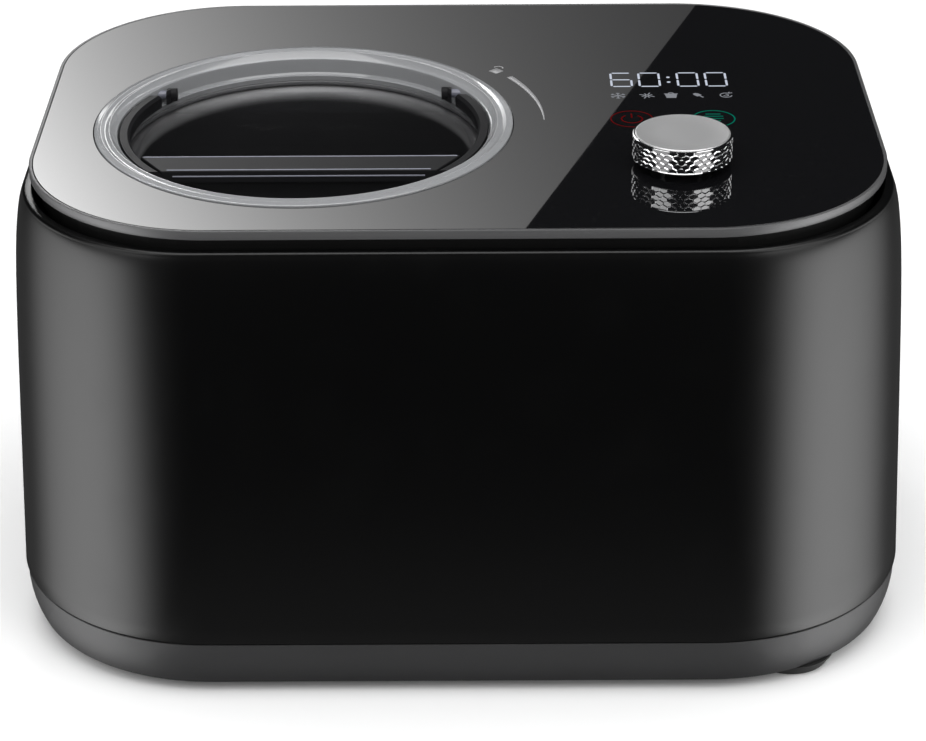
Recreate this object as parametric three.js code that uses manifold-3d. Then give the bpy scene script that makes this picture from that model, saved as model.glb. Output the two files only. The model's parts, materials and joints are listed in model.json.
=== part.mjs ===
// Countertop compressor ice cream maker: a housing with a glass top, a removable bowl in a cooled
// well, a twist-off clear lid with a refill flap, a control knob, and the drive and cooling parts
// inside. Millimetres, +Z up, front toward -Y, the table at z = 0.
import * as THREE from 'three';
import { mergeVertices } from 'three/addons/utils/BufferGeometryUtils.js';
import Module from 'manifold-3d';

// ---------------------------------------------------------------- driving dimensions
const gap = 0.3;                 // clearance between pieces that touch
const play = { lid: 0.4, collar: 0.6, grille: 0.4, lip: 0.5, hub: 1.5, tab: 0.4 };  // wider ones
const overshoot = 1;             // how far a cutter runs past the face it cuts
const roundSegments = 48;        // facets of the pieces round the well
const plainSegments = 24;        // facets of small round pieces
const cornerSegments = 5;        // half the facets of each rounded corner

const body = { width: 398, depth: 296, corner: 90, seamZ: 27.4, wall: 3 };
const taper = { lean: 7, shoulder: 5.5, power: 8 };
const base = { bottomZ: 5.5, floor: 3, wall: 3, tuck: 4, lipHeight: 7, lip: 2 };
const foot = { radius: 20, taper: 2 };
const feet = {
  foot_front_left: [-130, -94],
  foot_front_right: [146, -114],
  foot_rear_left: [-130, 94],
  foot_rear_right: [130, 94],
};
const plate = { inset: 14, corner: 82, topZ: 217, float: 8.5, trimHeight: 3.9, trimWall: 1.5 };
const trimFloor = 1;
const trimLedge = 5;
const deck = { inset: 4.2, thickness: 3, wall: 3, bottomZ: 203, ledge: 6, ledgeThickness: 4.5 };

const well = { x: -68.2, y: -17.2 };
const lid = { overBowl: 8.5, rim: 10.1, skirt: 3.6, rise: 1.2, web: 2, skirtDepth: 9.4 };
const lug = { reach: 3.1, height: 2.5, angle: 18, count: 3 };
const refill = { margin: 9.5, front: -40, back: 38 };
const seal = { width: 3.2, height: 2 };
const flap = { frame: 4.4, height: 6, pane: 2, front: -49.6, bar: 16.8, hingeY: 46.7, topDrop: 2 };
const flapClear = 1.1;
const hingePin = { radius: 2, length: 10, relief: 8.5 };
const collar = { wall: 2.5, height: 9, flange: 4 };
const bowl = { radius: 74, wall: 1.5, depth: 121.4, rimDrop: 13.6, lip: 5, rim: 2.5, tube: 3 };
const drum = { clearance: 0.8, wall: 1.2, flange: 1.2 };
const coil = { tube: 6, turns: 4, fromFloor: 18, pitch: 20, facets: 18 };
const foam = { thickness: 14, floor: 8 };
const shaft = { radius: 4, square: 7.4, socket: 11, entry: 12 };
const paddle = { height: 80, arm: 10, blade: 5, bladeWidth: 11, hubWall: 3, sweep: 18, lift: 2.2 };

const gear = { module: 1.5, wheel: 36, pinion: 12, face: 7, pressure: 25, backlash: 0.2 };
const gearCase = { floor: 3, wall: 3, room: 2.5, cover: 3, underFoam: 5.4, layerGap: 1 };
const mixMotor = { radius: 26, shaft: 2.5 };
const idlerPin = { radius: 3 };

const knob = { x: 96, y: -65, radius: 21.4, cap: 20.2, height: 11, lift: 3.3, capHeight: 2.3 };
const spindle = { radius: 3, length: 25 };
const encoder = { size: 16, height: 9, bush: 5 };
const display = { x: 96, y: 12, width: 66, depth: 74, board: 1.6, drop: 17.5 };

const compressor = { x: 108, y: -38, radius: 50, bottomZ: 25.3, height: 122, weld: 3 };
const tray = { width: 126, depth: 92, thickness: 3, edge: 9 };
const condenser = { x: 76, y: 109, width: 146, depth: 28, height: 112, bottomZ: 20, slots: 11 };
const fan = { x: 80, z: 78, radius: 43, blades: 7, shroud: 106, depth: 22, hub: 15, y: 80 };
const drier = { x: 166, y: 36, radius: 9, bottomZ: 40, height: 84 };
const pipe = { radius: 3, segments: 16 };
const mainBoard = { x: -72, y: 112, width: 110, height: 74, bottomZ: 40, board: 1.6 };

const grille = { width: 180, bottomZ: 44, height: 132, flange: 6, slot: 5, slotWidth: 30 };
const vent = { rows: 9, columns: 4, pitchX: 40, pitchZ: 12.5 };
const intake = { x: 40, y: 100, pitch: 12, count: 7, length: 34 };
const gland = { radius: 9, flange: 12, x: -112, z: 52, bore: 3.6, length: 22 };

// ---------------------------------------------------------------- worked-out levels and radii
const FLOOR = base.bottomZ + base.floor;
const BODY_TOP = plate.topZ - plate.float;
const PLATE_W = body.width - 2 * plate.inset;
const PLATE_D = body.depth - 2 * plate.inset;
const LID_INNER = bowl.radius + lid.overBowl;
const LID_R = LID_INNER + lid.rim;
const TRIM_Z = plate.topZ - plate.trimHeight;
const GLASS_Z = TRIM_Z + trimFloor + gap;
const DECK_TOP = TRIM_Z - gap;
const DECK_UNDER = DECK_TOP - deck.thickness;
const SKIRT_R = LID_INNER + lid.skirt;
const SKIRT_Z = TRIM_Z - lid.skirtDepth;
const WEB_Z = SKIRT_Z + seal.height + gap;
const LUG_R = SKIRT_R + lug.reach;
const TAB_Z = SKIRT_Z + lug.height + gap;
const COLLAR_R = LUG_R + gap;
const FLAP_TOP = plate.topZ - flap.topDrop;
const FLAP_AXIS_Z = FLAP_TOP - flap.height / 2;
const FLAP_R = LID_INNER - flapClear;
const HINGE_X = Math.sqrt(FLAP_R ** 2 - flap.hingeY ** 2);
const COLLAR_TOP = DECK_UNDER - gap;
const RIM_Z = plate.topZ - bowl.rimDrop;
const BOWL_FLOOR = RIM_Z - bowl.depth;
const BOWL_UNDER = BOWL_FLOOR - bowl.wall;
const BOWL_FLANGE_R = SKIRT_R - 0.1;
const DRUM_R = bowl.radius + bowl.wall + drum.clearance;
const DRUM_OUT = DRUM_R + drum.wall;
const DRUM_UNDER = BOWL_UNDER - drum.clearance - drum.wall;
const DRUM_TOP = RIM_Z - bowl.rim - drum.clearance;
const COIL_R = (DRUM_OUT + gap + coil.tube / 2) / Math.cos(Math.PI / coil.facets);
const FOAM_R = COIL_R + coil.tube / 2 + gap;
const FOAM_OUT = FOAM_R + foam.thickness;
const FOAM_UNDER = DRUM_UNDER - gap - foam.floor;
const FOAM_TOP = DRUM_TOP - drum.flange - gap;
const TUBE_R = shaft.square * Math.SQRT1_2 + 2 * gap;
const TUBE_OUT = TUBE_R + bowl.tube;
const HUB_R = TUBE_OUT + play.hub;
const HUB_Z = BOWL_FLOOR + paddle.lift;
const SOCKET_Z = HUB_Z + shaft.entry;
const SHAFT_TOP = SOCKET_Z + shaft.socket;
const COVER_Z = FOAM_UNDER - gearCase.underFoam - gearCase.cover;
const GEAR_STEP = gear.module * (gear.wheel + gear.pinion) / 2;
const WHEEL_R = gear.module * (gear.wheel / 2 + 1);
const UPPER_Z = COVER_Z - gap - gearCase.room - gear.face;
const LOWER_Z = UPPER_Z - gearCase.layerGap - gear.face;
const CASE_FLOOR = LOWER_Z - gearCase.layerGap;
const CASE_UNDER = CASE_FLOOR - gearCase.floor;
const KNOB_Z = plate.topZ + knob.lift;
const KNOB_TOP = KNOB_Z + knob.height;
const SPINDLE_TOP = KNOB_TOP - knob.capHeight - 1;

// ---------------------------------------------------------------- tools for making solids
const wasm = await Module();
wasm.setup();

/** The triangles of a closed geometry, each corner once, with the flat ones left out. */
function cleanTriangles(geometry) {
  const bare = new THREE.BufferGeometry();
  bare.setAttribute('position', geometry.getAttribute('position'));
  bare.setIndex(geometry.index);
  const merged = mergeVertices(bare, 1e-4);
  const corners = merged.index.array;
  const kept = [];
  for (let i = 0; i < corners.length; i += 3) {
    const [a, b, c] = corners.slice(i, i + 3);
    if (a !== b && b !== c && c !== a) kept.push(a, b, c);
  }
  return { positions: merged.getAttribute('position').array, kept };
}

/** A closed three.js geometry as a manifold-3d solid with its faces outward. */
function solid(geometry) {
  const { positions, kept } = cleanTriangles(geometry);
  const point = (i) => new THREE.Vector3().fromArray(positions, 3 * i);
  let volume = 0;
  for (let i = 0; i < kept.length; i += 3) {
    volume += point(kept[i]).dot(point(kept[i + 1]).cross(point(kept[i + 2])));
  }
  const turned = volume < 0 ? kept.slice().reverse() : kept;
  return new wasm.Manifold(new wasm.Mesh({
    numProp: 3,
    vertProperties: Float32Array.from(positions),
    triVerts: Uint32Array.from(turned),
  }));
}

/** A manifold-3d solid as a three.js geometry. */
function geometryOf(shape) {
  const mesh = shape.getMesh();
  const geometry = new THREE.BufferGeometry();
  geometry.setAttribute('position', new THREE.BufferAttribute(mesh.vertProperties, 3));
  geometry.setIndex(Array.from(mesh.triVerts));
  geometry.computeVertexNormals();
  return geometry;
}

/** A box, centred in plan on (x, y), standing on z. */
function block(width, depth, height, x = 0, y = 0, z = 0) {
  return solid(new THREE.BoxGeometry(width, depth, height).translate(x, y, z + height / 2));
}

/** An upright cylinder from z0 to z1. */
function disc(radius, z0, z1, x = 0, y = 0, segments = plainSegments) {
  const geometry = new THREE.CylinderGeometry(radius, radius, z1 - z0, segments);
  return solid(geometry.rotateX(Math.PI / 2).translate(x, y, (z0 + z1) / 2));
}

/** A cylinder along Y from y0 to y1. */
function rod(radius, y0, y1, x = 0, z = 0, segments = plainSegments) {
  const geometry = new THREE.CylinderGeometry(radius, radius, y1 - y0, segments);
  return solid(geometry.translate(x, (y0 + y1) / 2, z));
}

/** A solid of revolution about Z from [radius, z] points. */
function turned(profile, segments = roundSegments) {
  const points = profile.map(([radius, z]) => new THREE.Vector2(radius, z));
  return solid(new THREE.LatheGeometry(points, segments).rotateX(Math.PI / 2));
}

/** A washer or tube about Z. */
function ring(inner, outer, z0, z1, segments = roundSegments) {
  const profile = [[inner, z0], [outer, z0], [outer, z1], [inner, z1], [inner, z0]];
  return turned(profile, segments);
}

/** A flat outline carried from z0 to z1. */
function prism(outline, z0, z1) {
  const options = { depth: z1 - z0, bevelEnabled: false, curveSegments: cornerSegments };
  return solid(new THREE.ExtrudeGeometry(outline, options).translate(0, 0, z0));
}

/** A helix about Z, climbing by the pitch at each turn. */
class Helix extends THREE.Curve {
  constructor(radius, startZ, pitch, turns) {
    super();
    Object.assign(this, { radius, startZ, pitch, turns });
  }

  getPoint(t, target = new THREE.Vector3()) {
    const angle = 2 * Math.PI * this.turns * t;
    const z = this.startZ + this.pitch * this.turns * t;
    return target.set(this.radius * Math.cos(angle), this.radius * Math.sin(angle), z);
  }
}

/** A round tube along a curve. */
function tubeAlong(path, radius, steps, sides = 8) {
  const section = new THREE.Shape(Array.from({ length: sides }, (_, i) => {
    const angle = 2 * Math.PI * i / sides;
    return new THREE.Vector2(radius * Math.cos(angle), radius * Math.sin(angle));
  }));
  const options = { steps, bevelEnabled: false, extrudePath: path };
  return solid(new THREE.ExtrudeGeometry(section, options));
}

/** A round tube along a smooth line through points. */
function pipeAlong(points, radius = pipe.radius) {
  const path = new THREE.CatmullRomCurve3(points.map((p) => new THREE.Vector3(...p)));
  return tubeAlong(path, radius, pipe.segments);
}

function union(...shapes) {
  return shapes.reduce((all, shape) => all.add(shape));
}

function cut(shape, ...cutters) {
  return cutters.reduce((left, cutter) => left.subtract(cutter), shape);
}

function roundedRectangle(width, depth, corner, inset = 0) {
  const x = width / 2 - corner;
  const y = depth / 2 - corner;
  const radius = corner - inset;
  return new THREE.Shape()
    .absarc(x, y, radius, 0, Math.PI / 2)
    .absarc(-x, y, radius, Math.PI / 2, Math.PI)
    .absarc(-x, -y, radius, Math.PI, 1.5 * Math.PI)
    .absarc(x, -y, radius, 1.5 * Math.PI, 2 * Math.PI);
}

/** A rounded slab whose side is drawn in by insetAt(z) at each height. */
function shapedSlab(size, z0, z1, steps, insetAt, spread = (u) => u) {
  const outline = roundedRectangle(size.width, size.depth, size.corner);
  const options = { depth: 1, steps, bevelEnabled: false, curveSegments: cornerSegments };
  const geometry = new THREE.ExtrudeGeometry(outline, options);
  const coreX = size.width / 2 - size.corner;
  const coreY = size.depth / 2 - size.corner;
  const position = geometry.getAttribute('position');
  for (let i = 0; i < position.count; i += 1) {
    const z = z0 + (z1 - z0) * spread(position.getZ(i));
    const centreX = THREE.MathUtils.clamp(position.getX(i), -coreX, coreX);
    const centreY = THREE.MathUtils.clamp(position.getY(i), -coreY, coreY);
    const scale = (size.corner - insetAt(z)) / size.corner;
    const x = centreX + (position.getX(i) - centreX) * scale;
    position.setXYZ(i, x, centreY + (position.getY(i) - centreY) * scale, z);
  }
  return solid(geometry);
}

/** A sector of a washer, centred on an angle in degrees. */
function sector(inner, outer, z0, z1, middle, span) {
  const from = THREE.MathUtils.degToRad(middle - span / 2);
  const to = THREE.MathUtils.degToRad(middle + span / 2);
  const outline = new THREE.Shape()
    .absarc(0, 0, outer, from, to)
    .absarc(0, 0, inner, to, from, true);
  return prism(outline, z0, z1);
}

function turn(shape, degrees) {
  return shape.rotate([0, 0, degrees]);
}

// ---------------------------------------------------------------- housing, base and feet
/** How far the housing wall leans in from its widest outline at a height. */
function housingInset(z) {
  const t = THREE.MathUtils.clamp((z - body.seamZ) / (BODY_TOP - body.seamZ), 0, 1);
  return taper.lean * t + taper.shoulder * (1 - Math.sqrt(1 - t ** taper.power));
}

/** The housing outline filled from z0 to z1, moved inward by an offset. */
function housingFill(z0, z1, offset, steps = 3) {
  const crowd = (u) => 1 - (1 - u) ** 2;
  return shapedSlab(body, z0, z1, steps, (z) => housingInset(z) + offset, crowd);
}

function rearWindow(margin) {
  const width = grille.width + 2 * margin;
  const height = grille.height + 2 * margin;
  return block(width, body.depth / 2, height, 0, body.depth / 2, grille.bottomZ - margin);
}

function deckOutline(inset) {
  return roundedRectangle(PLATE_W, PLATE_D, plate.corner, deck.inset + inset);
}

function makeHousing() {
  const pocketZ = deck.bottomZ - gap;
  const cavityTop = pocketZ - deck.ledgeThickness;
  const cavity = housingFill(body.seamZ - overshoot, cavityTop, body.wall);
  return cut(
    housingFill(body.seamZ, BODY_TOP, 0, 8),
    cavity,
    prism(deckOutline(deck.ledge), cavityTop - overshoot, pocketZ + overshoot),
    prism(deckOutline(-gap), pocketZ, BODY_TOP + overshoot),
    rearWindow(play.grille),
    rod(gland.radius + gap, 0, body.depth, gland.x, gland.z),
  );
}

function makeRearGrille() {
  const depth = 2 * body.wall;
  const top = BODY_TOP - 20;
  const inner = body.wall + gap;
  const panel = cut(housingFill(body.seamZ, top, 0), housingFill(0, top + overshoot, depth));
  const back = cut(housingFill(body.seamZ, top, inner), housingFill(0, top + overshoot, depth));
  const shell = union(
    panel.intersect(rearWindow(0)),
    back.intersect(rearWindow(grille.flange)),
  );
  const middleZ = grille.bottomZ + grille.height / 2;
  const slots = [];
  for (let row = 0; row < vent.rows; row += 1) {
    for (let column = 0; column < vent.columns; column += 1) {
      const x = (column - (vent.columns - 1) / 2) * vent.pitchX;
      const z = middleZ + (row - (vent.rows - 1) / 2) * vent.pitchZ - grille.slot / 2;
      slots.push(block(grille.slotWidth, 3 * depth, grille.slot, x, body.depth / 2 - depth, z));
    }
  }
  return cut(shell, ...slots);
}

/** How far the base is tucked in under the housing at a height. */
function baseInset(z) {
  const t = THREE.MathUtils.clamp((body.seamZ - z) / (body.seamZ - base.bottomZ), 0, 1);
  return 0.8 + base.tuck * t ** 2.4;
}

function makeBasePan() {
  const top = body.seamZ - gap;
  const lipTop = body.seamZ + base.lipHeight;
  const lipOffset = body.wall + play.lip;
  const lip = prism(roundedRectangle(body.width, body.depth, body.corner, lipOffset),
    FLOOR, lipTop);
  const inside = roundedRectangle(body.width, body.depth, body.corner, lipOffset + base.lip);
  const shell = shapedSlab(body, base.bottomZ, top, 4, baseInset);
  const hollow = prism(inside, top - overshoot, lipTop + overshoot);
  const lower = shapedSlab(body, FLOOR, top, 3, (z) => baseInset(z) + base.wall + base.lip);
  const slots = [];
  for (let i = 0; i < intake.count; i += 1) {
    const x = intake.x + intake.pitch * (i - (intake.count - 1) / 2);
    slots.push(block(grille.slot, intake.length, 4 * base.floor, x, intake.y));
  }
  return cut(union(shell, lip), hollow, lower, ...slots);
}

function makeFoot() {
  const height = base.bottomZ - gap;
  const toe = foot.radius - foot.taper;
  return turned([[0, 0], [toe - 1, 0], [toe, 1], [foot.radius, height], [0, height]],
    plainSegments);
}

function makeCordGland() {
  const back = body.depth / 2 - housingInset(gland.z);
  const wallInside = back - body.wall - gap;
  const shape = union(
    rod(gland.radius, wallInside - gland.length, back - 0.5),
    rod(gland.flange, wallInside - 8, wallInside - 3),
  );
  return cut(shape, rod(gland.bore, back - 12, back + overshoot));
}

// ---------------------------------------------------------------- top plate
function makeTrim() {
  const outline = (inset) => roundedRectangle(PLATE_W, PLATE_D, plate.corner, inset);
  return cut(
    prism(outline(0), TRIM_Z, plate.topZ),
    prism(outline(plate.trimWall), TRIM_Z + trimFloor, plate.topZ + overshoot),
    prism(outline(plate.trimWall + trimLedge), TRIM_Z - overshoot, plate.topZ),
  );
}

function makeGlass() {
  const outline = roundedRectangle(PLATE_W, PLATE_D, plate.corner,
    plate.trimWall + gap);
  return cut(
    prism(outline, GLASS_Z, plate.topZ),
    disc(LID_R + play.lid, 0, plate.topZ + overshoot, well.x, well.y, roundSegments),
    disc(encoder.bush + gap, 0, plate.topZ + overshoot, knob.x, knob.y),
  );
}

function makeDeck() {
  const under = prism(deckOutline(deck.wall), deck.bottomZ - overshoot, DECK_UNDER);
  return cut(
    prism(deckOutline(0), deck.bottomZ, DECK_TOP),
    under,
    disc(COLLAR_R + play.collar, 0, plate.topZ, well.x, well.y, roundSegments),
    block(display.width, display.depth, plate.topZ, display.x, display.y),
    disc(encoder.bush + gap, 0, plate.topZ, knob.x, knob.y),
  );
}

// ---------------------------------------------------------------- lid and flap, about the well
function makeLidRing() {
  const radius = LID_R;
  const innerRadius = LID_INNER;
  const top = plate.topZ + lid.rise;
  const rim = turned([
    [innerRadius, TRIM_Z], [radius, TRIM_Z], [radius, plate.topZ], [radius - 1.2, top],
    [innerRadius + 4, top], [innerRadius, plate.topZ - 0.6], [innerRadius, TRIM_Z],
  ]);
  const skirt = ring(innerRadius, SKIRT_R, SKIRT_Z, TRIM_Z + 0.5);
  const web = disc(innerRadius + 1, WEB_Z, WEB_Z + lid.web, 0, 0, roundSegments);
  const mouth = disc(LID_INNER - refill.margin, 0, plate.topZ, 0, 0, roundSegments).intersect(
    block(4 * LID_R, refill.back - refill.front, plate.topZ, 0,
      (refill.back + refill.front) / 2));
  const lugs = [];
  for (let i = 0; i < lug.count; i += 1) {
    const at = 90 + 360 * i / lug.count;
    lugs.push(sector(SKIRT_R - 1, LUG_R, SKIRT_Z, SKIRT_Z + lug.height, at, lug.angle));
  }
  const pinHole = hingeRod(hingePin.radius + gap, 4 * LID_R);
  const bore = pinHole.intersect(disc(SKIRT_R + 0.6, 0, plate.topZ, 0, 0, roundSegments));
  return cut(union(rim, skirt, web, ...lugs), mouth, bore);
}

/** A bar along X on the flap's hinge line. */
function hingeRod(radius, length, x = 0, segments = 16) {
  const geometry = new THREE.CylinderGeometry(radius, radius, length, segments);
  geometry.rotateZ(Math.PI / 2);
  return solid(geometry.translate(x, flap.hingeY, FLAP_AXIS_Z));
}

function makeFlap() {
  const bottom = FLAP_TOP - flap.height;
  const span = flap.hingeY - flap.front;
  const strip = block(4 * FLAP_R, span, plate.topZ, 0, flap.front + span / 2);
  const inner = disc(FLAP_R - flap.frame, 0, plate.topZ, 0, 0, roundSegments);
  const windowFront = flap.front + flap.bar;
  const windowDepth = 2 * FLAP_R;
  const opening = inner.intersect(
    block(4 * FLAP_R, windowDepth, plate.topZ, 0, windowFront + windowDepth / 2));
  const frame = disc(FLAP_R, bottom, FLAP_TOP, 0, 0, roundSegments);
  const paneZ = FLAP_AXIS_Z - flap.pane / 2;
  const pane = disc(FLAP_R - 1, paneZ, paneZ + flap.pane, 0, 0, roundSegments);
  const panel = union(cut(frame, opening), pane).intersect(strip);
  const knuckles = hingeRod(flap.height / 2, 2 * (HINGE_X - 1.6));
  const between = block(2 * (HINGE_X - 8), 3 * flap.height, plate.topZ, 0, flap.hingeY);
  const reliefDepth = hingePin.relief + flap.height;
  const reliefY = flap.hingeY - hingePin.relief + reliefDepth / 2;
  const wallHalf = Math.sqrt(LID_INNER ** 2 - (flap.hingeY + flap.height / 2 + gap) ** 2);
  const reliefX = wallHalf - gap + 10;
  const relief = (side) => block(20, reliefDepth, plate.topZ, side * reliefX, reliefY);
  return cut(
    union(panel, cut(knuckles, between)),
    relief(1), relief(-1),
    cut(hingeRod(hingePin.radius + gap, 4 * FLAP_R),
      block(2 * (HINGE_X - 6), 4 * flap.height, plate.topZ, 0, flap.hingeY)),
  );
}

function makeHingePin(side) {
  const start = HINGE_X - 5.4;
  return hingeRod(hingePin.radius, hingePin.length, side * (start + hingePin.length / 2), 12);
}

function makeLidSeal() {
  const outer = LID_INNER - gap;
  return ring(outer - seal.width, outer, SKIRT_Z, SKIRT_Z + seal.height);
}

// ---------------------------------------------------------------- well, bowl and paddle
function makeCollar() {
  const outer = COLLAR_R + collar.wall;
  const bottom = COLLAR_TOP - collar.height;
  const tube = turned([
    [COLLAR_R, bottom], [outer, bottom], [outer, COLLAR_TOP - 2.5],
    [outer + collar.flange, COLLAR_TOP - 2.5], [outer + collar.flange, COLLAR_TOP],
    [COLLAR_R, COLLAR_TOP], [COLLAR_R, bottom],
  ]);
  const tabs = [];
  for (let i = 0; i < lug.count; i += 1) {
    const at = 60 + 360 * i / lug.count;
    tabs.push(sector(SKIRT_R + play.tab, COLLAR_R + 1, TAB_Z, COLLAR_TOP, at, lug.angle));
  }
  return union(tube, ...tabs);
}

function makeBowl() {
  const { radius, wall, lip } = bowl;
  const outer = radius + wall;
  const curve = [];
  for (let i = 0; i <= 4; i += 1) {
    const angle = Math.PI / 2 * (1 - i / 4);
    curve.push([radius + lip - lip * Math.cos(angle), RIM_Z - lip + lip * Math.sin(angle)]);
  }
  return turned([
    [TUBE_R, BOWL_UNDER], [outer - 4, BOWL_UNDER], [outer, BOWL_UNDER + 4],
    [outer, RIM_Z - bowl.rim - lip], [outer + lip, RIM_Z - bowl.rim],
    [BOWL_FLANGE_R, RIM_Z - bowl.rim], [BOWL_FLANGE_R, RIM_Z],
    ...curve.slice(0, -1), [radius, RIM_Z - lip],
    [radius, BOWL_FLOOR + 4], [radius - 4, BOWL_FLOOR],
    [TUBE_OUT, BOWL_FLOOR], [TUBE_OUT, SOCKET_Z - 1], [TUBE_R, SOCKET_Z - 1],
    [TUBE_R, BOWL_UNDER],
  ]);
}

function makeDrum() {
  return turned([
    [TUBE_OUT + 1, DRUM_UNDER], [DRUM_OUT - 4, DRUM_UNDER], [DRUM_OUT, DRUM_UNDER + 4],
    [DRUM_OUT, DRUM_TOP - drum.flange - bowl.lip], [DRUM_OUT + bowl.lip, DRUM_TOP - drum.flange],
    [COLLAR_R - 1, DRUM_TOP - drum.flange], [COLLAR_R - 1, DRUM_TOP],
    [DRUM_R + bowl.lip + 0.6, DRUM_TOP], [DRUM_R, DRUM_TOP - bowl.lip - 0.6],
    [DRUM_R, DRUM_UNDER + drum.wall + 4], [DRUM_R - 4, DRUM_UNDER + drum.wall],
    [TUBE_OUT + 1, DRUM_UNDER + drum.wall], [TUBE_OUT + 1, DRUM_UNDER],
  ]);
}

function makeCoil() {
  const path = new Helix(COIL_R, DRUM_UNDER + coil.fromFloor, coil.pitch, coil.turns);
  return tubeAlong(path, coil.tube / 2, coil.turns * coil.facets, 6);
}

function makeFoam() {
  const top = FOAM_TOP - bowl.lip;
  const inner = FOAM_R;
  return turned([
    [TUBE_OUT + 1, FOAM_UNDER], [FOAM_OUT, FOAM_UNDER], [FOAM_OUT, top], [inner, top],
    [inner, DRUM_UNDER - gap], [TUBE_OUT + 1, DRUM_UNDER - gap], [TUBE_OUT + 1, FOAM_UNDER],
  ], 36);
}

function makePaddle() {
  const reach = bowl.radius - 1.5;
  const hubOut = HUB_R + paddle.hubWall;
  const stem = union(
    disc(hubOut, HUB_Z, SHAFT_TOP + 4),
    disc(7, SHAFT_TOP, HUB_Z + paddle.height),
  );
  const arms = union(
    block(2 * reach - 8, paddle.blade, paddle.arm, 0, 0, HUB_Z),
    block(2 * reach - 8, paddle.blade, paddle.arm, 0, 0, HUB_Z + paddle.height - paddle.arm),
  );
  const blade = (side) => block(paddle.bladeWidth, paddle.blade, paddle.height,
    side * (reach - 1 - paddle.bladeWidth / 2), 0, HUB_Z);
  const scraper = (side) => turn(block(2 * paddle.bladeWidth, paddle.blade, paddle.arm,
    side * (reach - paddle.sweep), 0, HUB_Z), 90);
  const bar = turn(block(2 * reach - 2 * paddle.sweep, paddle.blade, paddle.arm, 0, 0, HUB_Z),
    90);
  const square = shaft.square + 2 * gap;
  return cut(
    union(stem, arms, blade(1), blade(-1), scraper(1), scraper(-1), bar),
    disc(HUB_R, HUB_Z - overshoot, SOCKET_Z),
    block(square, square, shaft.socket + gap, 0, 0, SOCKET_Z - overshoot / 2),
  );
}

// ---------------------------------------------------------------- mixing drive
/** The outline of an involute gear, with a tooth centred on +X turned by an angle. */
function gearOutline(teeth, turnBy) {
  const pitchRadius = gear.module * teeth / 2;
  const baseRadius = pitchRadius * Math.cos(THREE.MathUtils.degToRad(gear.pressure));
  const tip = pitchRadius + gear.module;
  const root = pitchRadius - 1.25 * gear.module;
  const involute = (r) => Math.sqrt((r / baseRadius) ** 2 - 1) - Math.acos(baseRadius / r);
  const halfAtPitch = (Math.PI / 2 - gear.backlash) / teeth;
  const start = Math.max(root, baseRadius);
  const shares = teeth > 2 * gear.pinion ? [0, 1] : [0, 0.5, 1];
  const flank = shares.map((u) => {
    const r = start + (tip - start) * u;
    return [r, halfAtPitch + involute(pitchRadius) - involute(r)];
  });
  if (root < baseRadius) flank.unshift([root, flank[0][1]]);
  const points = [];
  for (let tooth = 0; tooth < teeth; tooth += 1) {
    const middle = turnBy + 2 * Math.PI * tooth / teeth;
    const at = (r, angle) => new THREE.Vector2(r * Math.cos(angle), r * Math.sin(angle));
    flank.forEach(([r, half]) => points.push(at(r, middle - half)));
    flank.slice().reverse().forEach(([r, half]) => points.push(at(r, middle + half)));
  }
  return new THREE.Shape(points);
}

/** Half a tooth's turn, which puts a gap where a tooth would be. */
function halfTooth(teeth) {
  return Math.PI / teeth;
}

function makeOutputGear() {
  const wheel = prism(gearOutline(gear.wheel, 0), UPPER_Z, UPPER_Z + gear.face);
  return cut(wheel, disc(shaft.radius + gap, 0, plate.topZ));
}

function makeIdler() {
  const small = gearOutline(gear.pinion, halfTooth(gear.pinion));
  const large = gearOutline(gear.wheel, 0);
  const shape = union(
    prism(large, LOWER_Z, LOWER_Z + gear.face),
    prism(small, LOWER_Z + gear.face - 0.1, UPPER_Z + gear.face),
  );
  return cut(shape, disc(idlerPin.radius + gap, 0, plate.topZ));
}

function makeMotorPinion() {
  const outline = gearOutline(gear.pinion, halfTooth(gear.pinion));
  const pinion = prism(outline, LOWER_Z, LOWER_Z + gear.face);
  return cut(pinion, disc(mixMotor.shaft + gap, 0, plate.topZ));
}

function makeDriveShaft() {
  const { square } = shaft;
  return union(
    disc(shaft.radius, CASE_FLOOR + gap, SOCKET_Z + 0.5),
    block(square, square, shaft.socket - gap, 0, 0, SOCKET_Z),
  );
}

/** A slot-shaped outline from the well's axis out past the gears. */
function caseOutline(radius) {
  const length = 1.55 * GEAR_STEP;
  return new THREE.Shape()
    .absarc(length, 0, radius, -Math.PI / 2, Math.PI / 2)
    .absarc(0, 0, radius, Math.PI / 2, 1.5 * Math.PI);
}

function makeGearCase() {
  const inner = WHEEL_R + gearCase.room;
  const legAt = [[-inner + 8, 0], [GEAR_STEP, inner - 6], [GEAR_STEP, -inner + 6]];
  const legs = legAt.map(([x, y]) => disc(5, FLOOR + gap, CASE_FLOOR - 1, x, y, 12));
  return cut(
    union(prism(caseOutline(inner + gearCase.wall), CASE_UNDER, COVER_Z - gap),
      ...legs),
    prism(caseOutline(inner), CASE_FLOOR, COVER_Z + overshoot),
    disc(mixMotor.shaft + 2, 0, CASE_FLOOR + overshoot, 2 * GEAR_STEP, 0, 12),
  );
}

function makeGearCover() {
  const outline = caseOutline(WHEEL_R + gearCase.room + gearCase.wall);
  const hole = disc(TUBE_OUT, 0, plate.topZ);
  return cut(prism(outline, COVER_Z, COVER_Z + gearCase.cover), hole);
}

function makeShaftBush() {
  const z = COVER_Z;
  return ring(shaft.radius + gap, TUBE_OUT - gap, z, DRUM_UNDER + drum.wall, 24);
}

function makeMixMotor() {
  return union(
    disc(mixMotor.radius, FLOOR + gap, CASE_UNDER - gap),
    disc(mixMotor.shaft, FLOOR + 2, LOWER_Z + gear.face, 0, 0, 12),
  );
}

// ---------------------------------------------------------------- knob and controls
function makeKnobGrip() {
  const top = KNOB_TOP - knob.capHeight - gap;
  return ring(10, knob.radius, KNOB_Z, top, 40);
}

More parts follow.
